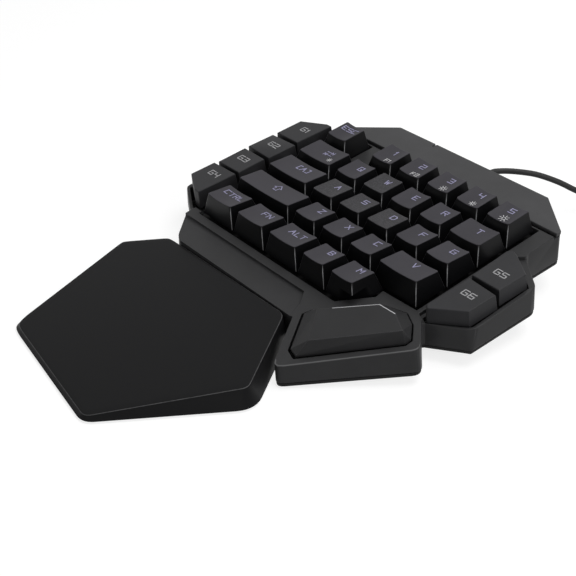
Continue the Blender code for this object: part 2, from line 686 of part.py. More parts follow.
def bottom_cover(look, block):
    """Base plate with support ribs, screw bosses, board stands and foot pockets."""
    outline = softened(inset(pitches(CASE_BASE_SHARES), BOTTOM_INSET))
    cover = add_object("bottom_cover", prism(outline, plane_of(base_z), plane_of(base_z, BOTTOM_THICKNESS)),
                       look, block)
    rooted = plane_of(base_z, BOTTOM_THICKNESS / 2)
    sheet_floor = plane_of(deck_z, -(SHEET_DEPTH + SHEET_THICKNESS + MEMBRANE_THICKNESS + 2 * GAP)
                           / math.cos(DECK_TILT))
    start, end = RIB_START_SHARE * KEY_PITCH, RIB_END_SHARE * KEY_PITCH
    for index, share in enumerate(RIB_SHARES):
        rib = prism(rectangle((share * KEY_PITCH, (start + end) / 2), (RIB_WIDTH, end - start)),
                    rooted, sheet_floor)
        join(cover, add_cutter(f"rib_{index + 1}", rib, block))
    x, y = pitches([BOARD_PLACE_SHARES])[0]
    for side in (-1.0, 1.0):
        stand = prism(rectangle((x + side * BOARD_WIDTH / 3, y), (RIB_WIDTH, BOARD_LENGTH)), rooted,
                      plane_of(base_z, BOTTOM_THICKNESS + BOARD_STAND))
        join(cover, add_cutter("board_stand_" + ("left" if side < 0 else "right"), stand, block))
    for index, center in enumerate(pitches(SCREW_SHARES)):
        floor = base_z(center[1])
        boss = round_solid(center, floor + BOTTOM_THICKNESS / 2, floor + BOTTOM_THICKNESS + BOSS_HEIGHT,
                           BOSS_RADIUS, SCREW_SIDES)
        join(cover, add_cutter(f"base_boss_{index + 1}", boss, block))
        seat = floor + SCREW_HEAD_HEIGHT + 2 * GAP
        head = round_solid(center, floor - OVERRUN, seat, SCREW_HEAD_RADIUS + GAP, SCREW_SIDES)
        cut(cover, add_cutter(f"head_hole_{index + 1}", head, block))
        shank = round_solid(center, floor, floor + BOTTOM_THICKNESS + BOSS_HEIGHT + OVERRUN,
                            SCREW_SHANK_RADIUS + GAP, SCREW_SIDES)
        cut(cover, add_cutter(f"shank_hole_{index + 1}", shank, block))
    for index, center in enumerate(pitches(FOOT_SHARES)):
        add_pocket(cover, index, center, rooted, block)


def foot_reach():
    """Length of a flip foot from its pin to its tip."""
    pivot = base_z(FOOT_SHARES[0][1] * KEY_PITCH) + FOOT_PIVOT_RISE
    return math.hypot(pivot, FOOT_LEAN)


def add_pocket(cover, index, center, rooted, block):
    """Roofed pocket that the foot folds into, with pin holes in its side walls."""
    x, y = center
    rear = y + FOOT_BARREL_RADIUS + POCKET_MARGIN
    front = y - foot_reach() - FOOT_BARREL_RADIUS - POCKET_MARGIN
    depth = FOOT_PIVOT_RISE + FOOT_BARREL_RADIUS + POCKET_MARGIN / 2
    width = FOOT_WIDTH + 2 * GAP
    middle = (x, (front + rear) / 2)
    shell = rectangle(middle, (width + 2 * POCKET_WALL, rear - front + 2 * POCKET_WALL))
    side = "left" if index == 0 else "right"
    box_solid = prism(shell, rooted, plane_of(base_z, depth + POCKET_ROOF))
    join(cover, add_cutter(f"pocket_box_{side}", box_solid, block))
    space = prism(rectangle(middle, (width, rear - front)), plane_of(base_z, -OVERRUN), plane_of(base_z, depth))
    cut(cover, add_cutter(f"pocket_{side}", space, block))
    length = width + 2 * (FOOT_PIN_LENGTH + GAP)
    pin_hole = round_solid((0.0, 0.0), -length / 2, length / 2, FOOT_PIN_RADIUS + GAP, SCREW_SIDES)
    hole = add_cutter(f"pin_hole_{side}", pin_hole, block)
    across(hole, (x, y, base_z(y) + FOOT_PIVOT_RISE))
    cut(cover, hole)


def flip_foot(index, look, block):
    """Leg on a barrel with two pins, leaning to the rear so that the load holds it open."""
    side = "left" if index == 0 else "right"
    x, y = pitches(FOOT_SHARES)[index]
    pivot = Vector((x, y, base_z(y) + FOOT_PIVOT_RISE))
    half_width = FOOT_WIDTH / 2
    name = f"flip_foot_{side}"
    top = rectangle((0.0, 0.0), (FOOT_WIDTH, FOOT_THICKNESS))
    bottom = rectangle((0.0, FOOT_LEAN), (FOOT_WIDTH, FOOT_THICKNESS))
    leg = prism(bottom, level(-pivot.z), level(0.0), top)
    foot = add_object(name, leg, look, block)
    foot.location = pivot
    barrel = add_cutter(name + "_barrel", round_solid((0.0, 0.0), -half_width, half_width,
                                                      FOOT_BARREL_RADIUS, SCREW_SIDES), block)
    across(barrel, pivot)
    join(foot, barrel)
    reach = half_width + FOOT_PIN_LENGTH
    pin = add_cutter(name + "_pin", round_solid((0.0, 0.0), -reach, reach, FOOT_PIN_RADIUS, SCREW_SIDES), block)
    across(pin, pivot)
    join(foot, pin)


def key_frame(centers, look, deck):
    """Plate with one guide sleeve for each key post."""
    floor, roof = -FRAME_DEPTH - FRAME_THICKNESS, -FRAME_DEPTH
    frame = add_object("key_frame", prism(pitches(FRAME_SHARES), level(floor), level(roof)), look, deck)
    sleeves, holes = bmesh.new(), bmesh.new()
    for center in centers:
        cylinder(sleeves, center, (floor + roof) / 2, SLEEVE_RISE, POST_RADIUS + GAP + SLEEVE_WALL, ROUND_SIDES)
        cylinder(holes, center, floor - OVERRUN, SLEEVE_RISE + OVERRUN, POST_RADIUS + GAP, ROUND_SIDES)
    join(frame, add_cutter("sleeves", sleeves, deck))
    cut(frame, add_cutter("sleeve_holes", holes, deck))


def dome_sheet(centers, look, deck):
    """Silicone sheet with one hollow dome under each post."""
    floor, roof = -SHEET_DEPTH - SHEET_THICKNESS, -SHEET_DEPTH
    peak = -FRAME_DEPTH - FRAME_THICKNESS - GAP
    sheet = add_object("dome_sheet", prism(pitches(SHEET_SHARES), level(floor), level(roof)), look, deck)
    domes, hollows = bmesh.new(), bmesh.new()
    for center in centers:
        cylinder(domes, center, (floor + roof) / 2, peak, DOME_BASE_RADIUS, ROUND_SIDES, DOME_TOP_RADIUS)
        cylinder(hollows, center, floor - DOME_WALL, peak - DOME_WALL, DOME_BASE_RADIUS - DOME_WALL,
                 ROUND_SIDES, DOME_TOP_RADIUS - DOME_WALL)
    join(sheet, add_cutter("domes", domes, deck))
    cut(sheet, add_cutter("dome_hollows", hollows, deck))


def membrane_sheet(look, deck):
    roof = -SHEET_DEPTH - SHEET_THICKNESS - GAP
    add_object("membrane_sheet", prism(pitches(SHEET_SHARES), level(roof - MEMBRANE_THICKNESS), level(roof)),
               look, deck)


def controller_board(look, block):
    floor = BOTTOM_THICKNESS + BOARD_STAND + GAP
    outline = rectangle(pitches([BOARD_PLACE_SHARES])[0], (BOARD_WIDTH, BOARD_LENGTH))
    add_object("controller_board", prism(outline, plane_of(base_z, floor),
                                         plane_of(base_z, floor + BOARD_THICKNESS)), look, block)


def screws(look, block):
    for index, (x, y) in enumerate(pitches(SCREW_SHARES)):
        head_floor = GAP
        head_roof = head_floor + SCREW_HEAD_HEIGHT
        tip = BOTTOM_THICKNESS + BOSS_HEIGHT + GAP + SCREW_GRIP
        name = f"case_screw_{index + 1}"
        screw = add_object(name, round_solid((0.0, 0.0), head_floor, head_roof, SCREW_HEAD_RADIUS,
                                             SCREW_SIDES), look, block)
        screw.location = (x, y, base_z(y))
        shank = round_solid((0.0, 0.0), (head_floor + head_roof) / 2, tip, SCREW_SHANK_RADIUS, SCREW_SIDES)
        helper = add_cutter(name + "_shank", shank, block)
        helper.location = screw.location
        join(screw, helper)


def front_pads(look, block):
    turn = math.tau / PAD_SIDES
    for side, (x, y) in zip(("left", "right"), pitches(FRONT_PAD_SHARES)):
        outline = [(x + PAD_RADIUS * math.cos(turn * step), y + PAD_RADIUS * math.sin(turn * step))
                   for step in range(PAD_SIDES)]
        add_object(f"front_pad_{side}", prism(outline, level(0.0), plane_of(base_z, -GAP)), look, block)


def wrist_outline(shares):
    left = WRIST_RIGHT_SHARE * KEY_PITCH - WRIST_WIDTH
    rear = case_front_y() - WRIST_LIFT
    return [(left + x * WRIST_WIDTH, rear + y * WRIST_DEPTH) for x, y in shares]


def wrist_foot():
    """Lower outline of the rest: its walls lean outward, most of all beside the thumb deck."""
    top_outline = wrist_outline(WRIST_SHARES)
    foot = inset(top_outline, -WRIST_FLARE)
    foot[0] = top_outline[0]
    foot[-1] = top_outline[-1]
    for index in (-2, -1):
        x, y = foot[index]
        foot[index] = (x + WRIST_SIDE_FLARE, y)
    return foot


def wrist_rest(cover_look, base_look, pad_look, block):
    """Sloping rest: a shell, the plate closed into its underside, tongues and pads."""
    top_outline = wrist_outline(WRIST_SHARES)
    rear = top_outline[0][1]
    mid_x = sum(x for x, y in top_outline) / len(top_outline)

    def roof(x, y):
        return WRIST_HEIGHT + WRIST_SLOPE * (y - rear) + WRIST_CROSS_SLOPE * (x - mid_x)

    def ceiling(x, y):
        return roof(x, y) - WRIST_SKIN
    rest = add_object("wrist_rest_cover", prism(wrist_foot(), level(WRIST_LIFT), roof, top_outline),
                      cover_look, block)
    plate_outline = wrist_outline(WRIST_BASE_SHARES)
    hollow_space = prism(inset(plate_outline, -GAP), level(WRIST_LIFT - OVERRUN), ceiling)
    cut(rest, add_cutter("wrist_hollow", hollow_space, block))
    plate = add_object("wrist_rest_base",
                       prism(plate_outline, level(WRIST_LIFT), level(WRIST_LIFT + WRIST_BASE_THICKNESS)),
                       base_look, block)
    for index, share in enumerate(TONGUE_SHARES):
        cut(rest, add_cutter(f"rest_slot_{index + 1}", tongue(share, GAP, OVERRUN), block))
        reach = tongue(share)
        join(plate, add_cutter(f"tongue_{index + 1}", reach, block))
        root_y = plate_outline[0][1] - TONGUE_ROOT / 2
        floor = WRIST_LIFT + WRIST_BASE_THICKNESS / 2
        top = TONGUE_HEIGHT + TONGUE_THICKNESS / 4
        root = box((tongue_x(share), root_y, (floor + top) / 2),
                   (TONGUE_WIDTH - 2 * GAP, TONGUE_ROOT - 2 * GAP, top - floor))
        join(plate, add_cutter(f"tongue_root_{index + 1}", root, block))
    for side, center in zip(("rear", "front"), wrist_outline(WRIST_PAD_SHARES)):
        outline = rectangle(center, (WRIST_PAD_LENGTH, WRIST_PAD_WIDTH))
        add_object(f"wrist_pad_{side}", prism(outline, level(0.0), level(WRIST_LIFT - GAP)), pad_look, block)


def strain_relief(look, block):
    """Flanged boot in the rear wall, tapering along the cable."""
    name = "strain_relief"
    flange_start = -COVER_WALL - GAP - RELIEF_FLANGE
    boot = add_object(name, round_solid((0.0, 0.0), flange_start, -COVER_WALL - GAP, RELIEF_FLANGE_RADIUS,
                                        RELIEF_SIDES), look, block)
    stem = bmesh.new()
    cylinder(stem, (0.0, 0.0), flange_start + RELIEF_FLANGE / 2, RELIEF_LENGTH, RELIEF_RADIUS, RELIEF_SIDES,
             RELIEF_TIP_RADIUS)
    helper = add_cutter(name + "_stem", stem, block)
    for item in (boot, helper):
        item.rotation_euler = (-math.pi / 2, 0.0, 0.0)
        item.location = (CABLE_EXIT_SHARE * KEY_PITCH, rear_y(), CABLE_EXIT_HEIGHT)
    join(boot, helper)


def smooth_route(points, step):
    """Points at even steps along a smooth curve through the route's own points."""
    points = [Vector(point) for point in points]
    padded = [2 * points[0] - points[1]] + points + [2 * points[-1] - points[-2]]
    fine = []
    for before, start, end, after in zip(padded, padded[1:], padded[2:], padded[3:]):
        for index in range(CURVE_SAMPLES):
            t = index / CURVE_SAMPLES
            fine.append(0.5 * ((2 * start) + (end - before) * t + (2 * before - 5 * start + 4 * end - after)
                               * t ** 2 + (3 * start - before - 3 * end + after) * t ** 3))
    fine.append(points[-1])
    length = sum((b - a).length for a, b in zip(fine, fine[1:]))
    count = max(2, round(length / step))
    even = [fine[0]]
    target, walked = length / count, 0.0
    for a, b in zip(fine, fine[1:]):
        run = (b - a).length
        while walked + run >= target * len(even) and len(even) < count:
            even.append(a.lerp(b, (target * len(even) - walked) / run))
        walked += run
    even.append(fine[-1])
    return even


def tube(name, points, resolution, look, parent):
    curve = bpy.data.curves.new(name, "CURVE")
    curve.dimensions = "3D"
    curve.bevel_depth = CABLE_RADIUS
    curve.bevel_resolution = resolution
    curve.use_fill_caps = True
    spline = curve.splines.new("POLY")
    spline.points.add(len(points) - 1)
    for target, point in zip(spline.points, points):
        target.co = (*point, 1.0)
    item = bpy.data.objects.new(name, curve)
    collection(PART_COLLECTION).objects.link(item)
    item.parent = parent
    curve.materials.append(look)
    return item


def coil_points():
    """Layered flat coil from its outer edge on the desk to its outer edge on top."""
    width = COIL_SPACING * COIL_LAYER_LOOPS
    loops = COIL_LAYERS * COIL_LAYER_LOOPS
    points = []
    for index in range(round(loops * COIL_LOOP_POINTS) + 1):
        turn = index / COIL_LOOP_POINTS
        layer = min(int(turn / COIL_LAYER_LOOPS), COIL_LAYERS - 1)
        share = turn / COIL_LAYER_LOOPS - layer
        radius = COIL_INNER_RADIUS + width * (1.0 - share if layer % 2 == 0 else share)
        climb = 0.0
        for joint in range(1, COIL_LAYERS):
            t = min(1.0, max(0.0, (turn - joint * COIL_LAYER_LOOPS) / COIL_CLIMB_SHARE + 0.5))
            climb += t * t * (3.0 - 2.0 * t)
        angle = COIL_START_ANGLE - turn * math.tau
        points.append(Vector((COIL_CENTRE[0] + radius * math.cos(angle), COIL_CENTRE[1] + radius * math.sin(angle),
                              CABLE_RADIUS + GAP + climb * COIL_SPACING)))
    return points


def coil_tail(points):
    """Lead from the top layer down to the plug, in line with the coil's last step."""
    end = points[-1]
    heading = points[-1] - points[-2]
    heading.z = 0.0
    heading.normalize()
    across_heading = Vector((-heading.y, heading.x, 0.0))
    return [Vector((end.x, end.y, 0.0)) + heading * along + across_heading * aside + Vector((0.0, 0.0, height))
            for along, aside, height in TAIL_ROUTE], heading


def print_least_gap(name, points):
    """Least gap between stretches of the tube that are at least half a loop apart."""
    apart = round(COIL_LOOP_POINTS / 2)
    least = min((a - b).length for i, a in enumerate(points) for b in points[i + apart:])
    print(f"{name}: least gap to itself {(least - 2 * CABLE_RADIUS) * 1000:.2f} mm")


def cable(cord_look, plug_look, metal_look, block):
    """Free stretch, coil and plug, laid along the desk."""
    start = Vector((CABLE_EXIT_SHARE * KEY_PITCH, rear_y() + RELIEF_LENGTH + GAP, CABLE_EXIT_HEIGHT))
    coil = coil_points()
    step = 5.0 * CABLE_RADIUS
    entry = (coil[0] - coil[1]).normalized()
    meeting = coil[0] + entry * 2 * CABLE_RADIUS
    straight = 2 * CABLE_RADIUS
    route = [start + Vector((0.0, straight, 0.0))] + [Vector(point) for point in CABLE_ROUTE]
    route.append(meeting + entry * straight)
    points = [start] + smooth_route(route, step) + [meeting + entry * GAP]
    tube("usb_cable", points, CABLE_RESOLUTION, cord_look, block)
    tail, heading = coil_tail(coil)
    lead = smooth_route([coil[-1]] + tail, step)[1:]
    print_least_gap("cable_coil", [meeting] + coil + lead)
    tube("cable_coil", [meeting] + coil + lead, COIL_RESOLUTION, cord_look, block)
    plug_start = lead[-1] + heading * GAP
    turn = Matrix.Rotation(math.atan2(heading.y, heading.x), 4, "Z")
    body = box((PLUG_LENGTH / 2, 0.0, 0.0), (PLUG_LENGTH, PLUG_WIDTH, PLUG_HEIGHT))
    plug = add_object("usb_plug", body, plug_look, block)
    bevel = plug.modifiers.new("edges", "BEVEL")
    bevel.width = PLUG_CHAMFER
    bevel.segments = 2
    shell_box = box((PLUG_LENGTH + GAP + SHELL_LENGTH / 2, 0.0, 0.0), (SHELL_LENGTH, SHELL_WIDTH, SHELL_HEIGHT))
    shell = add_object("usb_plug_shell", shell_box, metal_look, block)
    mouth = add_cutter("plug_mouth", box((PLUG_LENGTH + GAP + SHELL_LENGTH - SHELL_DEPTH / 2 + OVERRUN / 2, 0.0, 0.0),
                                         (SHELL_DEPTH + OVERRUN, SHELL_WIDTH - 2 * SHELL_WALL,
                                          SHELL_HEIGHT - 2 * SHELL_WALL)), block)
    for item in (plug, shell, mouth):
        item.rotation_euler = turn.to_euler()
        item.location = (plug_start.x, plug_start.y, PLUG_HEIGHT / 2 + GAP)
    cut(shell, mouth)


def part_centre():
    """Middle of the box of everything but the cord, which the origin stands under."""
    case = pitches(CASE_BASE_SHARES)
    rest = wrist_foot()
    xs = [x for x, y in case + rest]
    ys = [y for x, y in case + rest]
    return Vector(((min(xs) + max(xs)) / 2, (min(ys) + max(ys)) / 2, 0.0))


def build():
    clear_scene()
    cap_look = material("key_plastic", (0.050, 0.050, 0.053), 0.45)
    case_look = material("case_plastic", (0.040, 0.040, 0.042), 0.50)
    base_look = material("base_plastic", (0.030, 0.030, 0.031), 0.60)
    rest_look = material("rest_plastic", (0.020, 0.020, 0.021), 0.45)
    frame_look = material("frame_plastic", (0.060, 0.060, 0.062), 0.60)
    rubber_look = material("rubber", (0.015, 0.015, 0.015), 0.85)
    silicone_look = material("silicone", (0.600, 0.620, 0.640), 0.60)
    film_look = material("membrane_film", (0.700, 0.720, 0.680), 0.40)
    board_look = material("circuit_board", (0.020, 0.180, 0.060), 0.50)
    cord_look = material("cable_jacket", (0.018, 0.018, 0.018), 0.55)
    steel_look = material("steel", (0.600, 0.600, 0.600), 0.30, 1.0)

    block = empty("block_frame", None, -part_centre())
    deck = empty("deck_frame", block, (0.0, 0.0, DECK_HEIGHT), DECK_TILT)
    centers = []
    for row, keys in enumerate(KEY_ROWS):
        for name, left, width in keys:
            centers.append(block_cap(name, row, left, width, cap_look, deck))
    for name in sorted(SIDE_CAP_SHARES):
        height = LEFT_CAP_HEIGHT if SIDE_CAP_SHARES[name][0][0] < 0.0 else RIGHT_CAP_HEIGHT
        centers.append(side_cap(name, height, cap_look, deck))
    centers.append(thumb_key(cap_look, deck))
    top_cover(case_look, block, deck)
    rear_trim(case_look, block)
    bottom_cover(base_look, block)
    key_frame(centers, frame_look, deck)
    dome_sheet(centers, silicone_look, deck)
    membrane_sheet(film_look, deck)
    controller_board(board_look, block)
    screws(steel_look, block)
    front_pads(rubber_look, block)
    for index in range(len(FOOT_SHARES)):
        flip_foot(index, base_look, block)
    wrist_rest(rest_look, base_look, rubber_look, block)
    strain_relief(rubber_look, block)
    cable(cord_look, cord_look, steel_look, block)


build()
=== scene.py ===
"""Looks of a one-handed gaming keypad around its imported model, laid out as a Blender add-on.

World frame in metres: +X runs along the key rows, +Y to the rear, +Z up, the desk at zero height.
The key block's frame is the world moved by block_offset(); the deck frame is tilted about X in it.
"""
import json
import math

import bmesh
import bpy
import numpy as np
from bpy.props import FloatProperty, FloatVectorProperty, PointerProperty
from mathutils import Matrix, Vector
from mathutils.geometry import intersect_point_line

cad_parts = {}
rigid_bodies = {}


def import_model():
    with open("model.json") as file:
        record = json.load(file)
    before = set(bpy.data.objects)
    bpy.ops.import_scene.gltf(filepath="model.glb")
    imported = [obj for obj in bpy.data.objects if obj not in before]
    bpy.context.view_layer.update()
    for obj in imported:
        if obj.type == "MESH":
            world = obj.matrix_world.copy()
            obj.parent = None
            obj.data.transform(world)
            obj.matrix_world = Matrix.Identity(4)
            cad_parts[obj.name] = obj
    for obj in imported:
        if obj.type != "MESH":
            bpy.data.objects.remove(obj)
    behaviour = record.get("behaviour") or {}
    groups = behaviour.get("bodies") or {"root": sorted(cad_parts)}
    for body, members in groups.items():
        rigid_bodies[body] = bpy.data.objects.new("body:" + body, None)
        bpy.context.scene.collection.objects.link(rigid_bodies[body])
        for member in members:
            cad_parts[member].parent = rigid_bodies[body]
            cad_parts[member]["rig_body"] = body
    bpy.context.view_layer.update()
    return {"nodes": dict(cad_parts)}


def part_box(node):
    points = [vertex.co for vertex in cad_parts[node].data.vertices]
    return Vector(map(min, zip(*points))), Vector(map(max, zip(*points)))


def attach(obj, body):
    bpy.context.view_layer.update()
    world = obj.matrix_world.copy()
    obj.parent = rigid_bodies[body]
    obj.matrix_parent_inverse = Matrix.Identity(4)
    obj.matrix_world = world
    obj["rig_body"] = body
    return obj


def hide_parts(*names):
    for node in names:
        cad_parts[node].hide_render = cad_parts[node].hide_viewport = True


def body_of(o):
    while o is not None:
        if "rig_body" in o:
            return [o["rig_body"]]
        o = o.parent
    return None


bl_info = {
    "name": "Gaming keypad looks",
    "version": (1, 0, 0),
    "blender": (4, 5, 0),
    "location": "View3D > Sidebar > Keypad",
    "description": "Caps, legends, cable, wrist rest and finishes of a one-handed gaming keypad",
    "category": "Object",
}

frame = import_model()

# Key block, as in the part's source
KEY_PITCH = 0.01905
KEY_GAP = 0.0008
CAP_HEIGHT = 0.0100
CAP_WALL = 0.0012
CAP_TOP_INSET = 0.0030
CAP_DISH = 0.0008
CAP_SKIRT_DEPTH = 0.0006
CORNER_CLEARANCE = 0.0003
CORNER_NOTCH_HEIGHT = 0.0050
DECK_HEIGHT = 0.02247
DECK_TILT = math.atan(0.13)
STRIP_FRONT_SHARE = -3.591
WRIST_LIFT = 0.0008
SIDE_HEIGHTS = {"left": 0.0070, "right": 0.0055}
POST_RADIUS = 0.0026
POST_BOTTOM = -0.0051

# Rows from the rear: name, left edge and width in key pitches
KEY_ROWS = (
    (("key_esc", 0.0, 1.0), ("key_1", 1.75, 1.0), ("key_2", 2.75, 1.0), ("key_3", 3.75, 1.0),
     ("key_4", 4.75, 1.0), ("key_5", 5.75, 1.0)),
    (("key_tab", 0.0, 1.5), ("key_q", 1.5, 1.0), ("key_w", 2.5, 1.0), ("key_e", 3.5, 1.0),
     ("key_r", 4.5, 1.0), ("key_t", 5.5, 1.25)),
    (("key_caps_lock", 0.0, 1.75), ("key_a", 1.75, 1.0), ("key_s", 2.75, 1.0), ("key_d", 3.75, 1.0),
     ("key_f", 4.75, 1.0), ("key_g", 5.75, 1.0)),
    (("key_shift", 0.0, 2.25), ("key_z", 2.25, 1.0), ("key_x", 3.25, 1.0), ("key_c", 4.25, 1.0),
     ("key_v", 5.25, 1.5)),
    (("key_ctrl", 0.0, 1.25), ("key_fn", 1.25, 1.25), ("key_alt", 2.5, 1.25), ("key_b", 3.75, 1.0),
     ("key_m", 4.75, 1.0)),
)
BLOCK_KEYS = [(name, row, left, width) for row, keys in enumerate(KEY_ROWS)
              for name, left, width in keys]
# Front and rear edge of each row's tops: place in key pitches, height in cap heights
ROW_TOP_SHARES = (
    ((-0.265, 0.950), (0.464, 0.957)),
    ((-0.282, 0.827), (0.459, 0.776)),
    ((-0.316, 0.939), (0.434, 0.778)),
    ((-0.311, 1.020), (0.405, 0.825)),
    ((-0.347, 1.072), (0.373, 0.874)),
)
MIDDLE_ROW = 2
TEXTURED_KEYS = ("key_w", "key_a", "key_s", "key_d")
FLAT_DISH_SHARE = 0.5
NOTCHED_KEY = "key_m"
WELL_CORNER_SHARES = ((5.239, -2.562), (5.827, -1.827))

# Cap finish: corner radii at the skirt and at the top, radius of the top's edge, fineness, painted
# corner highlight and wear
SKIRT_CORNER = 0.0006
TOP_CORNER = 0.0009
TOP_EDGE = 0.00028
CORNER_POINTS = 7
SIDE_POINTS = 9
EDGE_RINGS = 5
POST_SIDES = 20
CORNER_LINE_POINT = 3
OTHER_CORNER_WEAR = 0.12
SKIRT_HIGHLIGHT = 0.4
HIGHLIGHT_AND_WEAR = "wear"
# Cap rings: wall heights, mix of skirt and top under the edge, shrink in the ceiling and on the top
WALL_SHARES = (0.03, 0.3)
HIGH_MIX = (0.3, 0.7)
CEILING_SHRINK = 0.3
TOP_RINGS = (0.93, 0.78, 0.58, 0.36, 0.15)
SHARP_ANGLE = math.radians(50.0)

# Cable, as in the part's source
CABLE_RADIUS = 0.0015
CABLE_EXIT_HEIGHT = 0.0231
CABLE_EXIT_SHARE = 3.740
REAR_SHARE = 3.701
RELIEF_LENGTH = 0.0110
RELIEF_RADIUS = 0.0026
RELIEF_TIP_RADIUS = 0.0020
RELIEF_FLANGE = 0.0012
RELIEF_FLANGE_RADIUS = 0.0035
COVER_WALL = 0.0020
GAP = 0.0003
COIL_INNER_RADIUS = 0.0110
COIL_SPACING = 0.0036
COIL_LAYER_LOOPS = 3.25
COIL_LAYERS = 4
COIL_CLIMB_SHARE = 0.5
COIL_LOOP_POINTS = 24
COIL_CENTRE = (0.1700, 0.1560)
COIL_START_ANGLE = math.radians(137.0)
CURVE_SAMPLES = 12
CABLE_ROUTE = (
    (0.0712, 0.0848, 0.0231), (0.0733, 0.0890, 0.0229), (0.0782, 0.0945, 0.0225),
    (0.0835, 0.1010, 0.0213), (0.0915, 0.1105, 0.0170), (0.1010, 0.1215, 0.0100),
    (0.1115, 0.1335, 0.0055), (0.1230, 0.1460, 0.0028), (0.1350, 0.1580, 0.0018),
)
TAIL_ROUTE = (
    (0.0080, 0.0000, 0.0115), (0.0180, 0.0004, 0.0095), (0.0290, 0.0008, 0.0062),
    (0.0380, 0.0008, 0.0044), (0.0440, 0.0008, 0.0041),
)
# Finish of the cable: fineness of the cord and of its relief, the relief's grooves, the tie
CABLE_SAMPLES = 3
CABLE_SIDES = 16
RELIEF_RINGS = 97
RELIEF_POINTS = 40
RELIEF_RIBS = 6
RIB_DEPTH = 0.00030
RIB_START = 0.0020
RIB_LAND = 0.6
TIE_HALF_WIDTH = 0.0030
TIE_CLEARANCE = 0.00012


def block_offset():
    """Move from the key block's frame to the world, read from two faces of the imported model."""
    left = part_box("key_caps_lock")[0].x - KEY_GAP / 2
    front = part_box("wrist_rest_cover")[1].y + WRIST_LIFT
    return Vector((left, front - STRIP_FRONT_SHARE * KEY_PITCH, 0.0))


OFFSET = block_offset()
DECK_MATRIX = (Matrix.Translation(OFFSET + Vector((0.0, 0.0, DECK_HEIGHT)))
               @ Matrix.Rotation(DECK_TILT, 4, "X"))


def to_world(points, matrix=DECK_MATRIX):
    """Rows of points carried by a 4x4 matrix: turned, then moved."""
    m = np.array(matrix)
    return points @ m[:3, :3].T + m[:3, 3]


def unit(rows):
    """Rows of vectors made one long."""
    return rows / np.linalg.norm(rows, axis=1, keepdims=True)


def circle(sides):
    """Unit circle as evenly spaced points."""
    turn = np.linspace(0.0, math.tau, sides, endpoint=False)
    return np.stack([np.cos(turn), np.sin(turn)], -1)


def level(points, height):
    """Flat points lifted to a height, one for all or one for each."""
    return np.column_stack([points, np.broadcast_to(height, len(points))])


def placed(name, data):
    """Object at the origin with its data, in the scene."""
    item = bpy.data.objects.new(name, data)
    bpy.context.scene.collection.objects.link(item)
    return item


def new_piece(name, vertices, faces, material, smooth=True):
    """Mesh object at the origin whose place is in its vertices."""
    mesh = bpy.data.meshes.new(name)
    mesh.from_pydata(np.asarray(vertices).tolist(), [], faces)
    mesh.update()
    mesh.polygons.foreach_set("use_smooth", np.full(len(mesh.polygons), smooth))
    if smooth:
        mesh.set_sharp_from_angle(angle=SHARP_ANGLE)
    mesh.materials.append(material)
    return placed(name, mesh)


def grid_faces(rings, points):
    """Quads between neighbouring closed rings, rings counted first."""
    i, j = np.meshgrid(np.arange(rings - 1), np.arange(points), indexing="ij")
    k = (j + 1) % points
    here, after = i * points, (i + 1) * points
    return np.stack([here + j, here + k, after + k, after + j], -1).reshape(-1, 4).tolist()


def closed_loft(rings, first_pole, last_pole):
    """Vertices and faces of a closed form: rings from one pole to the other."""
    rings = np.asarray(rings)
    count, points = rings.shape[:2]
    vertices = np.concatenate([rings.reshape(-1, 3), [first_pole, last_pole]])
    j = np.arange(points)
    k, last, pole = (j + 1) % points, (count - 1) * points, np.full(points, count * points)
    fans = [np.stack([k, j, pole], -1), np.stack([last + j, last + k, pole + 1], -1)]
    return vertices, grid_faces(count, points) + np.concatenate(fans).tolist()


def rounded_rectangle(half_x, y_front, y_rear, radius):
    """Outline counter-clockwise: four straight sides in even steps joined by quarter circles.

    A point of a corner is the corner circle's centre plus the radius times (cos a, sin a).
    """
    turn = np.linspace(0.0, math.pi / 2, CORNER_POINTS)
    corners = ((1.0, y_front, -math.pi / 2), (1.0, y_rear, 0.0), (-1.0, y_rear, math.pi / 2),
               (-1.0, y_front, math.pi))
    arcs = []
    for side, y, start in corners:
        inward = radius if y == y_front else -radius
        centre = np.array([side * (half_x - radius), y + inward])
        arcs.append(centre + radius * np.stack([np.cos(turn + start), np.sin(turn + start)], -1))
    share = np.linspace(0.0, 1.0, SIDE_POINTS + 2)[1:-1, None]
    parts = []
    for here, after in zip(arcs, arcs[1:] + arcs[:1]):
        parts += [here, here[-1] * (1.0 - share) + after[0] * share]
    return np.concatenate(parts)


def cap_centre(row, left, width):
    """Middle of a cap's place in the deck frame, whose origin lies in the middle row."""
    return np.array([(left + width / 2) * KEY_PITCH, (MIDDLE_ROW - row) * KEY_PITCH, 0.0])


def short_name(key):
    """Name of a key's node without what all of them begin with."""
    return key.removeprefix("key_")


def dish_of(name):
    """Depth of a cap's dish: pebbled caps are flatter."""
    return CAP_DISH * (FLAT_DISH_SHARE if name in TEXTURED_KEYS else 1.0)


def cap_top_height(row, dish, half_x, x, y):
    """Top of a cap: a straight slope from its front edge to its rear edge, less a dish.

    The dish is a parabola across X, deepest at the middle.
    """
    (front, front_height), (rear, rear_height) = ROW_TOP_SHARES[row]
    share = (y / KEY_PITCH - front) / (rear - front)
    slope = (front_height + (rear_height - front_height) * share) * CAP_HEIGHT
    return slope - dish * (1.0 - np.clip(np.abs(x) / half_x, 0.0, 1.0) ** 2)


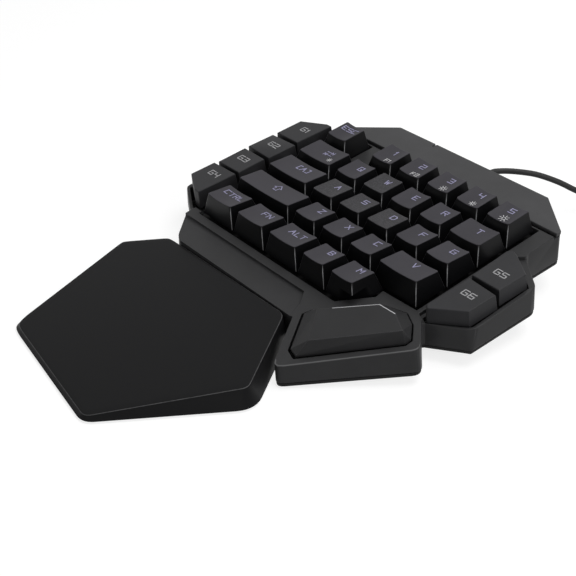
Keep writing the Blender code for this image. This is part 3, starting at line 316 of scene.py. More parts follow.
def cap_surface(name, row, width, trimmed):
    """Cap in its own deck frame: rings run from the inner ceiling down, round the skirt and up.

    Each ring is a rounded rectangle. The walls blend linearly from the skirt's rectangle to the
    top's, the edge is a quarter circle, and the top's rings shrink towards its middle. A notched
    cap has each wall's rings trimmed up to the ledge, where a trimmed and a whole ring meet.
    Gives the rings, the two poles and how many rings lie below the top's edge.
    """
    (front_share, _), (rear_share, _) = ROW_TOP_SHARES[row]
    dish = dish_of(name)
    skirt_x, skirt_y = width * KEY_PITCH / 2 - KEY_GAP / 2, KEY_PITCH / 2 - KEY_GAP / 2
    top_x = width * KEY_PITCH / 2 - CAP_TOP_INSET
    front, rear = front_share * KEY_PITCH, rear_share * KEY_PITCH

    def flat_ring(inset, height):
        half_x, half_y = skirt_x - inset, skirt_y - inset
        return level(rounded_rectangle(half_x, -half_y, half_y, SKIRT_CORNER), height)

    def top_ring(inset, drop, shrink=1.0):
        radius = TOP_CORNER - min(inset, TOP_CORNER / 2)
        outline = rounded_rectangle(top_x - inset, front + inset, rear - inset, radius)
        middle = np.array([0.0, (front + rear) / 2])
        outline = middle + (outline - middle) * shrink
        return level(outline, cap_top_height(row, dish, top_x, outline[:, 0], outline[:, 1]) - drop)

    def wall_ring(foot, head, height):
        share = (height - foot[:, 2:]) / (head[:, 2:] - foot[:, 2:])
        return foot + (head - foot) * share

    ceiling, inner = top_ring(CAP_WALL, CAP_WALL), flat_ring(CAP_WALL, -CAP_SKIRT_DEPTH)
    low, high = flat_ring(0.0, -CAP_SKIRT_DEPTH), top_ring(0.0, TOP_EDGE)
    rings = [ceiling * [CEILING_SHRINK, CEILING_SHRINK, 1.0], ceiling]
    heights = [CAP_HEIGHT * share for share in WALL_SHARES]
    if trimmed:
        whole = wall_ring(inner, ceiling, CORNER_NOTCH_HEIGHT + CAP_WALL)
        rings += [whole, trimmed(whole, CAP_WALL), trimmed(inner, CAP_WALL), trimmed(low, 0.0)]
        rings += [trimmed(wall_ring(low, high, height), 0.0) for height in heights]
        whole = wall_ring(low, high, CORNER_NOTCH_HEIGHT)
        rings += [trimmed(whole, 0.0), whole]
    else:
        rings += [inner, low] + [wall_ring(low, high, height) for height in heights]
    rings.append(low * HIGH_MIX[0] + high * HIGH_MIX[1])
    below = len(rings)
    for angle in np.linspace(0.0, math.pi / 2, EDGE_RINGS):
        inset, drop = TOP_EDGE * (1.0 - math.cos(angle)), TOP_EDGE * (1.0 - math.sin(angle))
        rings.append(top_ring(inset, drop))
    for shrink in TOP_RINGS:
        rings.append(top_ring(TOP_EDGE, 0.0, shrink))
    middle_y = (front + rear) / 2
    crown = float(cap_top_height(row, dish, top_x, 0.0, middle_y))
    return rings, (0.0, middle_y * CEILING_SHRINK, crown - CAP_WALL), (0.0, middle_y, crown), below


def set_highlight_and_wear(piece, values):
    """Painted highlight, with a little wear, of each vertex as an attribute that the finish reads."""
    piece.data.attributes.new(HIGHLIGHT_AND_WEAR, "FLOAT", "POINT").data.foreach_set("value", values)


def guide_post(ceiling):
    """Round post under a cap: a circle carried straight down, closed by a fan at each end."""
    rings = [level(circle(POST_SIDES) * POST_RADIUS, height) for height in (POST_BOTTOM, ceiling)]
    return closed_loft(rings, (0.0, 0.0, POST_BOTTOM), (0.0, 0.0, ceiling))


def corner_trim(centre):
    """Function that moves points beyond the key well's slanting edge back on to it."""
    start, end = (np.array(share) * KEY_PITCH for share in WELL_CORNER_SHARES)
    run = (end - start) / np.linalg.norm(end - start)
    outward = np.array([run[1], -run[0]])
    place = start - centre[:2] - outward * (CORNER_CLEARANCE + KEY_GAP / 2)

    def trimmed(points, inset):
        beyond = np.maximum((points[:, :2] - place) @ outward + inset, 0.0)
        moved = points.copy()
        moved[:, :2] -= beyond[:, None] * outward
        return moved
    return trimmed


def corner_highlight(rings, points, notched):
    """Painted highlight of the wall's vertices: 1 on a line down the front right corner, less towards
    the skirt.

    The other three corners carry far less of it, as wear, and the notched cap only near its top.
    """
    lines = (np.arange(points) % (CORNER_POINTS + SIDE_POINTS) == CORNER_LINE_POINT) * OTHER_CORNER_WEAR
    lines[CORNER_LINE_POINT] = 1.0
    share = np.clip((np.arange(rings) - 2.0) / (rings - 3.0), 0.0, 1.0)
    fade = share * (1.0 - SKIRT_HIGHLIGHT) + SKIRT_HIGHLIGHT
    if notched:
        fade[:rings - 2] = 0.0
    return (fade[:, None] * lines[None]).reshape(-1)


def block_cap(name, row, left, width, wall_finish, top_finish):
    """One cap of the key block with its post, standing for its CAD node."""
    centre = cap_centre(row, left, width)
    trimmed = corner_trim(centre) if name == NOTCHED_KEY else None
    rings, under, crown, below = cap_surface(name, row, width, trimmed)
    vertices, faces = closed_loft(rings, under, crown)
    ring_points = len(rings[0])
    post, post_faces = guide_post(under[2])
    finishes = np.zeros(len(faces) + len(post_faces), int)
    finishes[below * ring_points:(len(rings) - 1) * ring_points] = 1
    finishes[len(faces) - ring_points:len(faces)] = 1
    faces += [[index + len(vertices) for index in face] for face in post_faces]
    vertices = to_world(np.concatenate([vertices, post]) + centre)
    cap = new_piece("cap_" + short_name(name), vertices, faces, wall_finish)
    cap.data.materials.append(top_finish)
    cap.data.polygons.foreach_set("material_index", finishes)
    # painted highlight down the walls' front right corner, a little wear on the other corners
    painted_highlight = np.zeros(len(cap.data.vertices))
    painted_highlight[:below * ring_points] = corner_highlight(below, ring_points, trimmed is not None)
    set_highlight_and_wear(cap, painted_highlight)
    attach(cap, name + "_body")
    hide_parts(name)


def catmull_rom(points, samples):
    """Smooth curve through the points: a cubic in t for each span, from its four neighbours."""
    points = np.asarray(points, float)
    padded = np.concatenate([[2 * points[0] - points[1]], points, [2 * points[-1] - points[-2]]])
    before, start, end, after = (padded[k:len(padded) - 3 + k, None] for k in range(4))
    t = (np.arange(samples) / samples)[None, :, None]
    spans = 0.5 * (2 * start + (end - before) * t
                   + (2 * before - 5 * start + 4 * end - after) * t ** 2
                   + (3 * start - before - 3 * end + after) * t ** 3)
    return np.concatenate([spans.reshape(-1, 3), points[-1:]])


def walked(points):
    """Length along a polyline up to each of its points."""
    steps = np.linalg.norm(np.diff(points, axis=0), axis=1)
    return np.concatenate([[0.0], np.cumsum(steps)])


def even_route(points, step):
    """Points at even steps along the smooth curve through a route."""
    fine = catmull_rom(points, CURVE_SAMPLES)
    run = walked(fine)
    places = np.linspace(0.0, run[-1], max(2, round(run[-1] / step)) + 1)
    return np.stack([np.interp(places, run, fine[:, axis]) for axis in range(3)], -1)


def coil_route():
    """Layered flat coil: an angle that runs steadily, a radius that zigzags from layer to layer.

    The height climbs one step between layers along a smooth cubic.
    """
    loops = COIL_LAYERS * COIL_LAYER_LOOPS
    turn = np.arange(round(loops * COIL_LOOP_POINTS) + 1) / COIL_LOOP_POINTS
    layer = np.minimum(np.floor(turn / COIL_LAYER_LOOPS), COIL_LAYERS - 1)
    share = turn / COIL_LAYER_LOOPS - layer
    width = COIL_SPACING * COIL_LAYER_LOOPS
    radius = COIL_INNER_RADIUS + width * np.where(layer % 2 == 0, 1.0 - share, share)
    joints = np.arange(1, COIL_LAYERS)[:, None]
    t = np.clip((turn - joints * COIL_LAYER_LOOPS) / COIL_CLIMB_SHARE + 0.5, 0.0, 1.0)
    climb = (t * t * (3.0 - 2.0 * t)).sum(0)
    angle = COIL_START_ANGLE - turn * math.tau
    return np.stack([COIL_CENTRE[0] + radius * np.cos(angle),
                     COIL_CENTRE[1] + radius * np.sin(angle),
                     CABLE_RADIUS + GAP + climb * COIL_SPACING], -1)


def cable_route():
    """Whole centreline in the world: relief, free stretch, coil, lead to the plug."""
    start = np.array([CABLE_EXIT_SHARE * KEY_PITCH, REAR_SHARE * KEY_PITCH + RELIEF_LENGTH + GAP,
                      CABLE_EXIT_HEIGHT])
    coil = coil_route()
    entry = (coil[0] - coil[1]) / np.linalg.norm(coil[0] - coil[1])
    meeting = coil[0] + entry * 2 * CABLE_RADIUS
    step, straight = 5.0 * CABLE_RADIUS, 2 * CABLE_RADIUS
    route = np.concatenate([[start + [0.0, straight, 0.0]], CABLE_ROUTE,
                            [meeting + entry * straight]])
    free = np.concatenate([[start], even_route(route, step)])
    heading = (coil[-1] - coil[-2]) * [1.0, 1.0, 0.0]
    heading /= np.linalg.norm(heading)
    across = np.array([-heading[1], heading[0], 0.0])
    tail = np.array(TAIL_ROUTE)
    lead = coil[-1] * [1.0, 1.0, 0.0] + tail[:, :1] * heading + tail[:, 1:2] * across
    lead[:, 2] = tail[:, 2]
    lead = even_route(np.concatenate([coil[-1:], lead]), step)[1:]
    return np.concatenate([free, coil, lead]) + np.array(OFFSET)


def tube(name, path, radius, sides, material):
    """Circle carried along a path that is never upright.

    Its two axes are the path's level side direction and the direction square to both.
    """
    ahead = unit(np.gradient(path, axis=0))
    side = unit(np.cross(ahead, [0.0, 0.0, 1.0]))[:, None]
    upward = np.cross(side, ahead[:, None])
    across, up = circle(sides).T[:, None, :, None]
    rings = path[:, None] + radius * (across * side - up * upward)
    vertices, faces = closed_loft(rings, path[0], path[-1])
    return new_piece(name, vertices, faces, material)


def lathe(name, profile, matrix, sides, material):
    """Profile of distance along an axis and radius, turned round the axis, closed at both ends."""
    rings = [level(circle(sides) * radius, along) for along, radius in profile]
    vertices, faces = closed_loft(rings, (0.0, 0.0, profile[0][0]), (0.0, 0.0, profile[-1][0]))
    return new_piece(name, to_world(vertices, matrix), faces, material)


def coil_tie(material):
    """Thin band round the coil: a rounded loop in the upright plane through the coil's middle.

    The loop is carried a short way along the coil, and its wall stands outward from it.
    """
    half_width, clear = TIE_HALF_WIDTH, TIE_CLEARANCE
    inner = COIL_INNER_RADIUS - CABLE_RADIUS - clear
    outer = COIL_INNER_RADIUS + COIL_SPACING * COIL_LAYER_LOOPS + CABLE_RADIUS + clear
    low, high = GAP - clear, GAP + 2 * CABLE_RADIUS + COIL_SPACING * (COIL_LAYERS - 1) + clear
    angle = COIL_START_ANGLE - math.pi
    half = (outer - inner) / 2
    outline = rounded_rectangle(half, low, high, CABLE_RADIUS)
    wall = rounded_rectangle(half + clear, low - clear, high + clear, CABLE_RADIUS + clear)
    rings = []
    for loop, side in ((outline, -1.0), (wall, -1.0), (wall, 1.0), (outline, 1.0)):
        along = side * half_width
        out = loop[:, 0] + (inner + outer) / 2
        rings.append(np.column_stack([out * math.cos(angle) - along * math.sin(angle),
                                      out * math.sin(angle) + along * math.cos(angle), loop[:, 1]]))
    rings = np.array(rings + rings[:1]) + np.array(OFFSET + Vector((*COIL_CENTRE, 0.0)))
    count = rings.shape[1]
    faces = (np.array(grid_faces(len(rings), count)) % (4 * count)).tolist()
    tie = new_piece("coil_tie", rings[:4].reshape(-1, 3), faces, material)
    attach(tie, "keypad_case")
    return tie


def make_relief(material):
    """Boot where the cable leaves the rear wall: a flange, then a taper with rounded grooves."""
    flange_end = -COVER_WALL - GAP
    root = flange_end - RELIEF_FLANGE / 2
    along = np.linspace(flange_end, RELIEF_LENGTH, RELIEF_RINGS)
    radius = np.interp(along, (root, RELIEF_LENGTH), (RELIEF_RADIUS, RELIEF_TIP_RADIUS))
    share = np.clip((along - RIB_START) / (RELIEF_LENGTH - RIB_START), 0.0, 1.0)
    wave = np.sin(share * RELIEF_RIBS * math.pi) ** 2
    radius -= RIB_DEPTH * np.clip((1.0 + RIB_LAND) * wave - RIB_LAND, 0.0, 1.0)
    flange = [(place, RELIEF_FLANGE_RADIUS) for place in (flange_end - RELIEF_FLANGE, flange_end)]
    x, y = CABLE_EXIT_SHARE * KEY_PITCH, REAR_SHARE * KEY_PITCH
    matrix = (Matrix.Translation(OFFSET + Vector((x, y, CABLE_EXIT_HEIGHT)))
              @ Matrix.Rotation(-math.pi / 2, 4, "X"))
    relief = lathe("strain_relief_boot", flange + list(zip(along, radius)), matrix, RELIEF_POINTS,
                   material)
    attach(relief, "keypad_case")
    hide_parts("strain_relief")


def make_cable(jacket, band):
    """Cord from its relief to the plug, one tube of its whole length."""
    path = catmull_rom(cable_route(), CABLE_SAMPLES)
    cord = tube("cable", path, CABLE_RADIUS, CABLE_SIDES, jacket)
    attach(cord, "keypad_case")
    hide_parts("usb_cable", "cable_coil")
    tie = coil_tie(band)


# Bump heights, size of one pebble of the pebbled caps and samples of a rounded edge
GRAIN_HEIGHT = 0.00003
PEBBLE_HEIGHT = 0.00012
RUBBER_HEIGHT = 0.00004
DRAWN_HEIGHT = 0.00001
PEBBLE_SIZE = 0.0009
EDGE_SAMPLES = 6
# Colours of hidden and metal parts
SILICONE = (0.45, 0.46, 0.48)
FILM = (0.62, 0.64, 0.58)
SOLDER_MASK = (0.010, 0.110, 0.040)
TRACKS = (0.03, 0.22, 0.09)
STEEL = (0.62, 0.62, 0.63)
# Noise scales of the finishes
TONE_SCALE = 45.0
HIGHLIGHT_PATCH_SCALE = 400.0
PEBBLE_GLOSS_SCALE = 60.0
INK_SCALE = 2600.0
BLOOM_SCALE = 120.0
RUBBER_GRAIN_SCALE = 2500.0
DRAWN_SCALE = 150.0
DRAWN_STRETCH = 30.0
TRACK_SCALE = 220.0
TRACK_WIDTH = 0.03
TRACK_OFFSET = 0.37
MASK_GLOSS_SCALE = 300.0
PAPER_SCALE = 3.0


def shade(colour, factor):
    """Colour made darker or lighter by a factor."""
    return tuple(c * factor for c in colour)


class Nodes:
    """Node tree of a material or of the world."""

    def __init__(self, owner):
        owner.use_nodes = True
        self.tree = owner.node_tree

    def feed(self, node, inputs):
        """Each input, by name or number, takes a value or a link from a socket."""
        for key, value in inputs.items():
            if isinstance(value, bpy.types.NodeSocket):
                self.tree.links.new(value, node.inputs[key])
            else:
                node.inputs[key].default_value = value

    def add(self, kind, inputs, result=0, **settings):
        """New node, of which one output is given back."""
        node = self.tree.nodes.new("ShaderNode" + kind)
        for key, value in settings.items():
            setattr(node, key, value)
        self.feed(node, inputs)
        return node.outputs[result]

    def seen(self):
        """Socket that is 1 on rays from the camera and on reflected and transmitted ones."""
        total = self.add("LightPath", {}, "Is Camera Ray")
        for name in ("Is Glossy Ray", "Is Transmission Ray"):
            ray = self.add("LightPath", {}, name)
            total = self.add("Math", {0: total, 1: ray}, operation="MAXIMUM")
        return total


class Finish(Nodes):
    """Material with the textures and masks that the finishes below share."""

    def __init__(self, name, specular=0.5):
        self.material = bpy.data.materials.new(name)
        super().__init__(self.material)
        self.shader = self.tree.nodes["Principled BSDF"]
        self.feed(self.shader, {"Specular IOR Level": specular})
        self.place = self.add("TexCoord", {}, "Object")

    def surface(self, colour, roughness, **others):
        """Feeds the shader and gives its material."""
        self.feed(self.shader, {"Base Color": colour, "Roughness": roughness, **others})
        return self.material

    def noise(self, scale, detail=3.0, roughness=0.6):
        return self.add("TexNoise", {"Vector": self.place, "Scale": scale, "Detail": detail,
                                     "Roughness": roughness}, "Fac")

    def ranged(self, value, low, high, to_low=0.0, to_high=1.0):
        return self.add("MapRange", {"Value": value, "From Min": low, "From Max": high,
                                     "To Min": to_low, "To Max": to_high}, "Result")

    def mixed(self, factor, *colours):
        """Colour between two, each a colour or a socket."""
        first, second = (value if isinstance(value, bpy.types.NodeSocket) else (*value, 1.0)
                         for value in colours)
        return self.add("Mix", {0: factor, 6: first, 7: second}, 2, data_type="RGBA")

    def bump(self, height, strength, distance, **normal):
        inputs = {"Height": height, "Strength": strength, "Distance": distance, **normal}
        return self.add("Bump", inputs, "Normal")

    def worked(self, operation, first, second, result="Vector"):
        return self.add("VectorMath", {0: first, 1: second}, result, operation=operation)

    def near_line(self, line, reach):
        """Mask that is 1 on a broken line and falls to 0 at the reach from it."""
        nearest = None
        for start, end in zip(line, line[1:]):
            along = Vector(end) - Vector(start)
            offset = self.worked("SUBTRACT", self.place, Vector(start))
            share = self.worked("DOT_PRODUCT", offset, along / along.length_squared, "Value")
            share = self.ranged(share, 0.0, 1.0)
            foot = self.add("VectorMath", {0: along, "Scale": share}, operation="SCALE")
            gap = self.worked("DISTANCE", offset, foot, "Value")
            if nearest is not None:
                gap = self.add("Math", {0: nearest, 1: gap}, operation="MINIMUM")
            nearest = gap
        return self.ranged(nearest, LINE_CORE * reach, reach, 1.0, 0.0)

    def rounded_edges(self, radius):
        """Normal rounded at edges, and a mask that is 1 where it departs from the face's own."""
        normal = self.add("Bevel", {"Radius": radius}, "Normal", samples=EDGE_SAMPLES)
        flat = self.add("NewGeometry", {}, "Normal")
        return normal, self.ranged(self.worked("DOT_PRODUCT", normal, flat, "Value"), 0.98, 0.80)


def moulded_plastic(name, colour, roughness, grain, edge=0.0, edge_highlight_gain=1.6, painted_highlight=None):
    """Moulded plastic: fine spark-eroded grain, slow changes of tone and gloss, edges painted
    lighter, part wear and part painted highlight.

    The painted highlight is a broken line in the world and the colour painted along it.
    """
    nodes = Finish(name, 0.12)
    slow, normal = nodes.noise(TONE_SCALE, 4.0), {}
    surface = nodes.mixed(nodes.ranged(slow, 0.35, 0.65), shade(colour, 0.9), shade(colour, 1.1))
    if edge:
        normal["Normal"], mask = nodes.rounded_edges(edge)
        # edges painted lighter by the gain: part wear, part painted highlight
        surface = nodes.mixed(mask, surface, tuple(c * edge_highlight_gain + 0.004 for c in colour))
    if painted_highlight:
        line, highlight_colour = painted_highlight
        surface = nodes.mixed(nodes.near_line(line, LINE_REACH), surface, highlight_colour)
    fine = nodes.bump(nodes.noise(1.0 / grain, 2.0), 0.35, GRAIN_HEIGHT, **normal)
    return nodes.surface(surface, nodes.ranged(slow, 0.3, 0.7, roughness - 0.05, roughness + 0.05),
                         Normal=fine)


def highlighted_plastic(name, colour, highlight_colour, roughness, grain, specular=0.15):
    """Dark moulded plastic, painted lighter and made smoother where the piece's attribute says: a
    painted highlight, with a little wear on the caps' other corners.
    """
    nodes = Finish(name, specular)
    wear = nodes.add("Attribute", {}, "Fac", attribute_name=HIGHLIGHT_AND_WEAR)
    patches = nodes.ranged(nodes.noise(HIGHLIGHT_PATCH_SCALE), 0.3, 0.6, 0.55, 1.0)
    amount = nodes.add("Math", {0: wear, 1: patches}, operation="MULTIPLY")
    return nodes.surface(nodes.mixed(amount, colour, highlight_colour),
                         nodes.ranged(amount, 0.0, 1.0, roughness, roughness * 0.6),
                         Normal=nodes.bump(nodes.noise(1.0 / grain, 2.0), 0.15, GRAIN_HEIGHT))


def pebbled_plastic(name, colour, roughness):
    """Non-slip cap plastic: rounded cells pressed into it, a little lighter on their crowns."""
    nodes = Finish(name, 0.2)
    crown = nodes.add("TexVoronoi", {"Vector": nodes.place, "Scale": 1.0 / PEBBLE_SIZE}, "Distance")
    tone = nodes.mixed(nodes.ranged(crown, 0.1, 0.6), shade(colour, 1.25), shade(colour, 0.7))
    slow = nodes.noise(PEBBLE_GLOSS_SCALE)
    relief = nodes.bump(nodes.ranged(crown, 0.0, 0.7, 1.0, 0.0), 0.5, PEBBLE_HEIGHT)
    return nodes.surface(tone, nodes.ranged(slow, 0.3, 0.7, roughness - 0.05, roughness + 0.08),
                         Normal=relief)


def printed_ink(name, colour):
    """Screen-printed legend: even tone with a slight grain where the ink thins."""
    nodes = Finish(name, 0.3)
    thin = nodes.ranged(nodes.noise(INK_SCALE), 0.35, 0.65)
    return nodes.surface(nodes.mixed(thin, shade(colour, 0.85), colour), 0.55)


def soft_rubber(name, colour, roughness=0.8):
    """Rubber: matt, with a dusty bloom in patches and a soft grain."""
    nodes = Finish(name, 0.25)
    bloom = nodes.ranged(nodes.noise(BLOOM_SCALE, 5.0), 0.45, 0.75)
    return nodes.surface(nodes.mixed(bloom, colour, shade(colour, 1.35)),
                         nodes.ranged(bloom, 0.0, 1.0, roughness, roughness + 0.1),
                         Normal=nodes.bump(nodes.noise(RUBBER_GRAIN_SCALE), 0.3, RUBBER_HEIGHT))


def plated_steel(name, colour):
    """Plated metal: fine drawn lines along X and slow changes of gloss."""
    nodes = Finish(name)
    stretch = (1.0, DRAWN_STRETCH, DRAWN_STRETCH)
    stretched = nodes.add("Mapping", {"Vector": nodes.place, "Scale": stretch})
    lines = nodes.add("TexNoise", {"Vector": stretched, "Scale": DRAWN_SCALE}, "Fac")
    return nodes.surface(nodes.mixed(lines, shade(colour, 0.85), colour),
                         nodes.ranged(lines, 0.3, 0.7, 0.22, 0.36), Metallic=1.0,
                         Normal=nodes.bump(lines, 0.1, DRAWN_HEIGHT))


def circuit_laminate(name, mask, copper):
    """Circuit board: solder mask over straight tracks, which show as raised lighter lines."""
    nodes = Finish(name)
    tracks = nodes.add("TexBrick", {"Vector": nodes.place, "Scale": TRACK_SCALE,
                                    "Mortar Size": TRACK_WIDTH}, "Fac", offset=TRACK_OFFSET)
    return nodes.surface(nodes.mixed(tracks, mask, copper),
                         nodes.ranged(nodes.noise(MASK_GLOSS_SCALE), 0.3, 0.7, 0.3, 0.5),
                         Normal=nodes.bump(tracks, 0.4, GRAIN_HEIGHT))


# Legends: text, height, move from the cap's middle in X and Y
LEGENDS = {
    "key_esc": ("ESC", 0.0036, 0.0001, 0.0043), "key_ctrl": ("CTRL", 0.0035, 0.0006, 0.0023),
    "key_fn": ("FN", 0.0036, 0.0019, 0.0028), "key_alt": ("ALT", 0.0036, 0.0008, 0.0023),
    "key_caps_lock": ("[A]", 0.0040, 0.0018, 0.0033), "key_1": ("1", 0.0038, 0.0008, 0.0042),
    "key_2": ("2", 0.0038, 0.0008, 0.0042), "key_3": ("3", 0.0038, 0.0008, 0.0042),
    "key_4": ("4", 0.0038, 0.0006, 0.0044), "key_5": ("5", 0.0038, 0.0004, 0.0045),
}
LETTER_HEIGHT = 0.0037
LETTER_PLACE = (0.0013, 0.0036)
SIDE_LEGEND_PLACES = {
    "key_g1": (-0.0111, 0.0293), "key_g2": (-0.0119, 0.0089), "key_g3": (-0.0134, -0.0100),
    "key_g4": (-0.0136, -0.0288), "key_g5": (0.1440, 0.0078), "key_g6": (0.1437, -0.0120),
}
SIDE_LETTER_HEIGHT = 0.0038
SMALL_LEGENDS = {"key_1": "F1", "key_2": "F2"}
SMALL_PLACE = (0.0024, -0.0031)
SMALL_HEIGHT = 0.0026
# Sun marks: move from the cap's middle in X and Y, size
SUN_MARKS = {"key_3": (0.0020, -0.0028, 0.0021), "key_4": (0.0018, -0.0028, 0.0018),
             "key_5": (0.0012, -0.0022, 0.0025), "key_tab": (0.0074, -0.0016, 0.0015)}
# Half of the shift key's arrow from its tip, and half of the tab key's mark: arrow and stop
ARROW = ((0.0, 1.0), (0.9, 0.1), (0.42, 0.1), (0.42, -0.8))
ARROW_SIZE = 0.0027
ARROW_PLACE = (0.0011, 0.0022)
TAB_ARROW = (((-1.0, 0.0), (0.75, 0.0)), ((0.75, 0.0), (0.35, 0.35)), ((0.75, 0.0), (0.35, -0.35)),
             ((1.0, 0.4), (1.0, -0.4)))
TAB_SIZE = 0.0024
TAB_PLACE = (0.0024, 0.0027)
INK_LIFT = 0.00005
STROKE = 0.00042
# Sun mark in sizes: its ring, start and end of its rays on the ring's scale, its stroke
SUN_RING = 0.38
SUN_RAY = (1.6, 2.5)
SUN_STROKE = 0.75
SUN_RAYS = 8

# Strokes of each character on a grid of five points by five, column then row; a slash lifts the pen
GLYPHS = {
    "A": "00 24 40/12 32", "B": "00 04 34 43 32 41 30 00/02 32", "C": "44 04 00 40",
    "D": "00 04 34 43 41 30 00", "E": "44 04 00 40/02 32", "F": "00 04 44/02 32",
    "G": "44 04 00 40 42 22", "L": "04 00 40", "M": "00 04 22 44 40", "N": "00 04 40 44",
    "Q": "40 00 04 44 40/22 40", "R": "00 04 44 42 02/22 40", "S": "44 04 02 42 40 00",
    "T": "04 44/24 20", "V": "04 20 44", "W": "04 10 23 30 44", "X": "00 44/04 40",
    "Z": "04 44 00 40", "1": "13 24 20", "2": "04 44 42 02 00 40", "3": "04 44 40 00/12 42",
    "4": "04 02 42/44 40", "5": "44 04 02 42 40 00", "6": "44 04 00 40 42 02", "[": "34 14 10 30",
    "]": "14 34 30 10",
}
GLYPH_STEPS = 4
GLYPH_WIDTH = 0.80
GLYPH_GAP = 0.34
GLYPH_STROKE = 0.14


def letters(text, height):
    """Flat letters around the origin from straight strokes, spaced by their own widths."""
    lines, reached = [], 0.0
    for letter in text:
        paths = [[(int(x), int(y)) for x, y in path.split()] for path in GLYPHS[letter].split("/")]
        across = [x for path in paths for x, _ in path]
        left, right = min(across), max(across)
        for path in paths:
            drawn = [((x - left) * GLYPH_WIDTH / GLYPH_STEPS + reached, y / GLYPH_STEPS)
                     for x, y in path]
            lines += zip(drawn[:-1], drawn[1:])
        reached += (right - left) * GLYPH_WIDTH / GLYPH_STEPS + GLYPH_GAP
    ends = (np.array(lines) - [(reached - GLYPH_GAP) / 2, 0.5]) * height * (1.0 - GLYPH_STROKE)
    return strokes(ends, height * GLYPH_STROKE)


def strokes(lines, width):
    """Flat marks from straight strokes: each is a strip square to its own line."""
    ends = np.array(lines)
    ahead = unit(ends[:, 1] - ends[:, 0])
    side = np.stack([-ahead[:, 1], ahead[:, 0]], -1) * width / 2
    reach = ahead * width / 2
    corners = np.stack([ends[:, 0] - reach - side, ends[:, 1] + reach - side,
                        ends[:, 1] + reach + side, ends[:, 0] - reach + side], 1)
    return level(corners.reshape(-1, 2), 0.0), np.arange(len(ends) * 4).reshape(-1, 4).tolist()


def sun_mark(size):
    """Ring with eight rays: the ring as short strokes, the rays pointing outward from it."""
    ring = circle(SUN_RAYS) * size * SUN_RING
    rays = [[point * share for share in SUN_RAY] for point in ring]
    return strokes([*zip(ring, np.roll(ring, -1, 0)), *rays], STROKE * SUN_STROKE)


def shift_arrow():
    """Outlined arrow pointing to the rear, the mark of a shift key."""
    outline = np.array(ARROW + tuple((-x, y) for x, y in ARROW[:0:-1])) * ARROW_SIZE
    return strokes(list(zip(outline, np.roll(outline, -1, 0))), STROKE)


def tab_arrows():
    """Two opposite arrows with stops, the mark of a tab key."""
    lines = [np.array(TAB_ARROW) * TAB_SIZE * side + [0.0, side * 0.5 * TAB_SIZE]
             for side in (1.0, -1.0)]
    return strokes(np.concatenate(lines), STROKE)


def block_legends(key, row, left, width, ink, small_ink):
    """Legend of one cap of the key block, and its small second mark where it has one."""
    centre = cap_centre(row, left, width)[:2]
    half = width * KEY_PITCH / 2 - CAP_TOP_INSET
    short = short_name(key)

    def place(name, mark, move, material):
        points, faces = mark
        points[:, :2] += move
        surface = cap_top_height(row, dish_of(key), half, points[:, 0], points[:, 1])
        points[:, 2] = surface + INK_LIFT
        points[:, :2] += centre
        piece = new_piece(name + short, to_world(points), faces, material, smooth=False)
        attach(piece, key + "_body")

    if key == "key_shift":
        place("legend_", shift_arrow(), ARROW_PLACE, ink)
    elif key == "key_tab":
        place("legend_", tab_arrows(), TAB_PLACE, ink)
    else:
        text, height, *move = LEGENDS.get(key, (short.upper(), LETTER_HEIGHT, *LETTER_PLACE))
        place("legend_", letters(text, height), move, ink)
    if key in SMALL_LEGENDS:
        place("second_legend_", letters(SMALL_LEGENDS[key], SMALL_HEIGHT), SMALL_PLACE, small_ink)
    if key in SUN_MARKS:
        *move, size = SUN_MARKS[key]
        place("sun_mark_", sun_mark(size), move, small_ink)


def side_legend(key, ink):
    """Legend of one side key, flat on its top."""
    x, y = SIDE_LEGEND_PLACES[key]
    points, faces = letters(short_name(key).upper(), SIDE_LETTER_HEIGHT)
    points += [x, y, SIDE_HEIGHTS["left" if x < 0.0 else "right"] + INK_LIFT]
    piece = new_piece("legend_" + short_name(key), to_world(points), faces, ink, smooth=False)
    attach(piece, key + "_body")


# Wrist rest, as in the part's source
WRIST_WIDTH = 0.1286
WRIST_DEPTH = 0.0979
WRIST_HEIGHT = 0.0120
WRIST_SLOPE = 0.10
WRIST_CROSS_SLOPE = 0.02
WRIST_FLARE = 0.0012
WRIST_SKIN = 0.0016
WRIST_SIDE_FLARE = 0.0031
WRIST_RIGHT_SHARE = 6.168
WRIST_SHARES = (
    (0.128, 0.000), (0.107, -0.007), (0.004, -0.170), (0.000, -0.190), (0.146, -0.856),
    (0.172, -0.892), (0.738, -1.000), (1.000, -0.419), (0.788, 0.000),
)
WRIST_BASE_SHARES = (
    (0.200, -0.070), (0.090, -0.200), (0.190, -0.560), (0.760, -0.700), (0.915, -0.400),
    (0.750, -0.070),
)
# Finish of the rest: corner radii of its top, foot and plate, edge radius and its ring of painted
# highlight,
# fineness, foot's bevel, rings of the roof
WRIST_CORNERS = (0.003, 0.003, 0.004, 0.004, 0.006, 0.006, 0.0035, 0.003, 0.004)
WRIST_FOOT_CORNERS = (0.004, 0.004, 0.006, 0.006, 0.008, 0.008, 0.005, 0.008, 0.0015)
WRIST_BASE_CORNER = 0.002
WRIST_EDGE = 0.0008
HIGHLIGHT_EDGE_RING = 3
ROUND_POINTS = 8
PLATE_POINTS = 400
FOOT_BEVEL_SHARE = 0.004
FOOT_BEVEL_HEIGHT = 0.0004
ROOF_RINGS = (0.96, 0.85, 0.65, 0.4, 0.2)
LONGEST_CORNER = 0.45


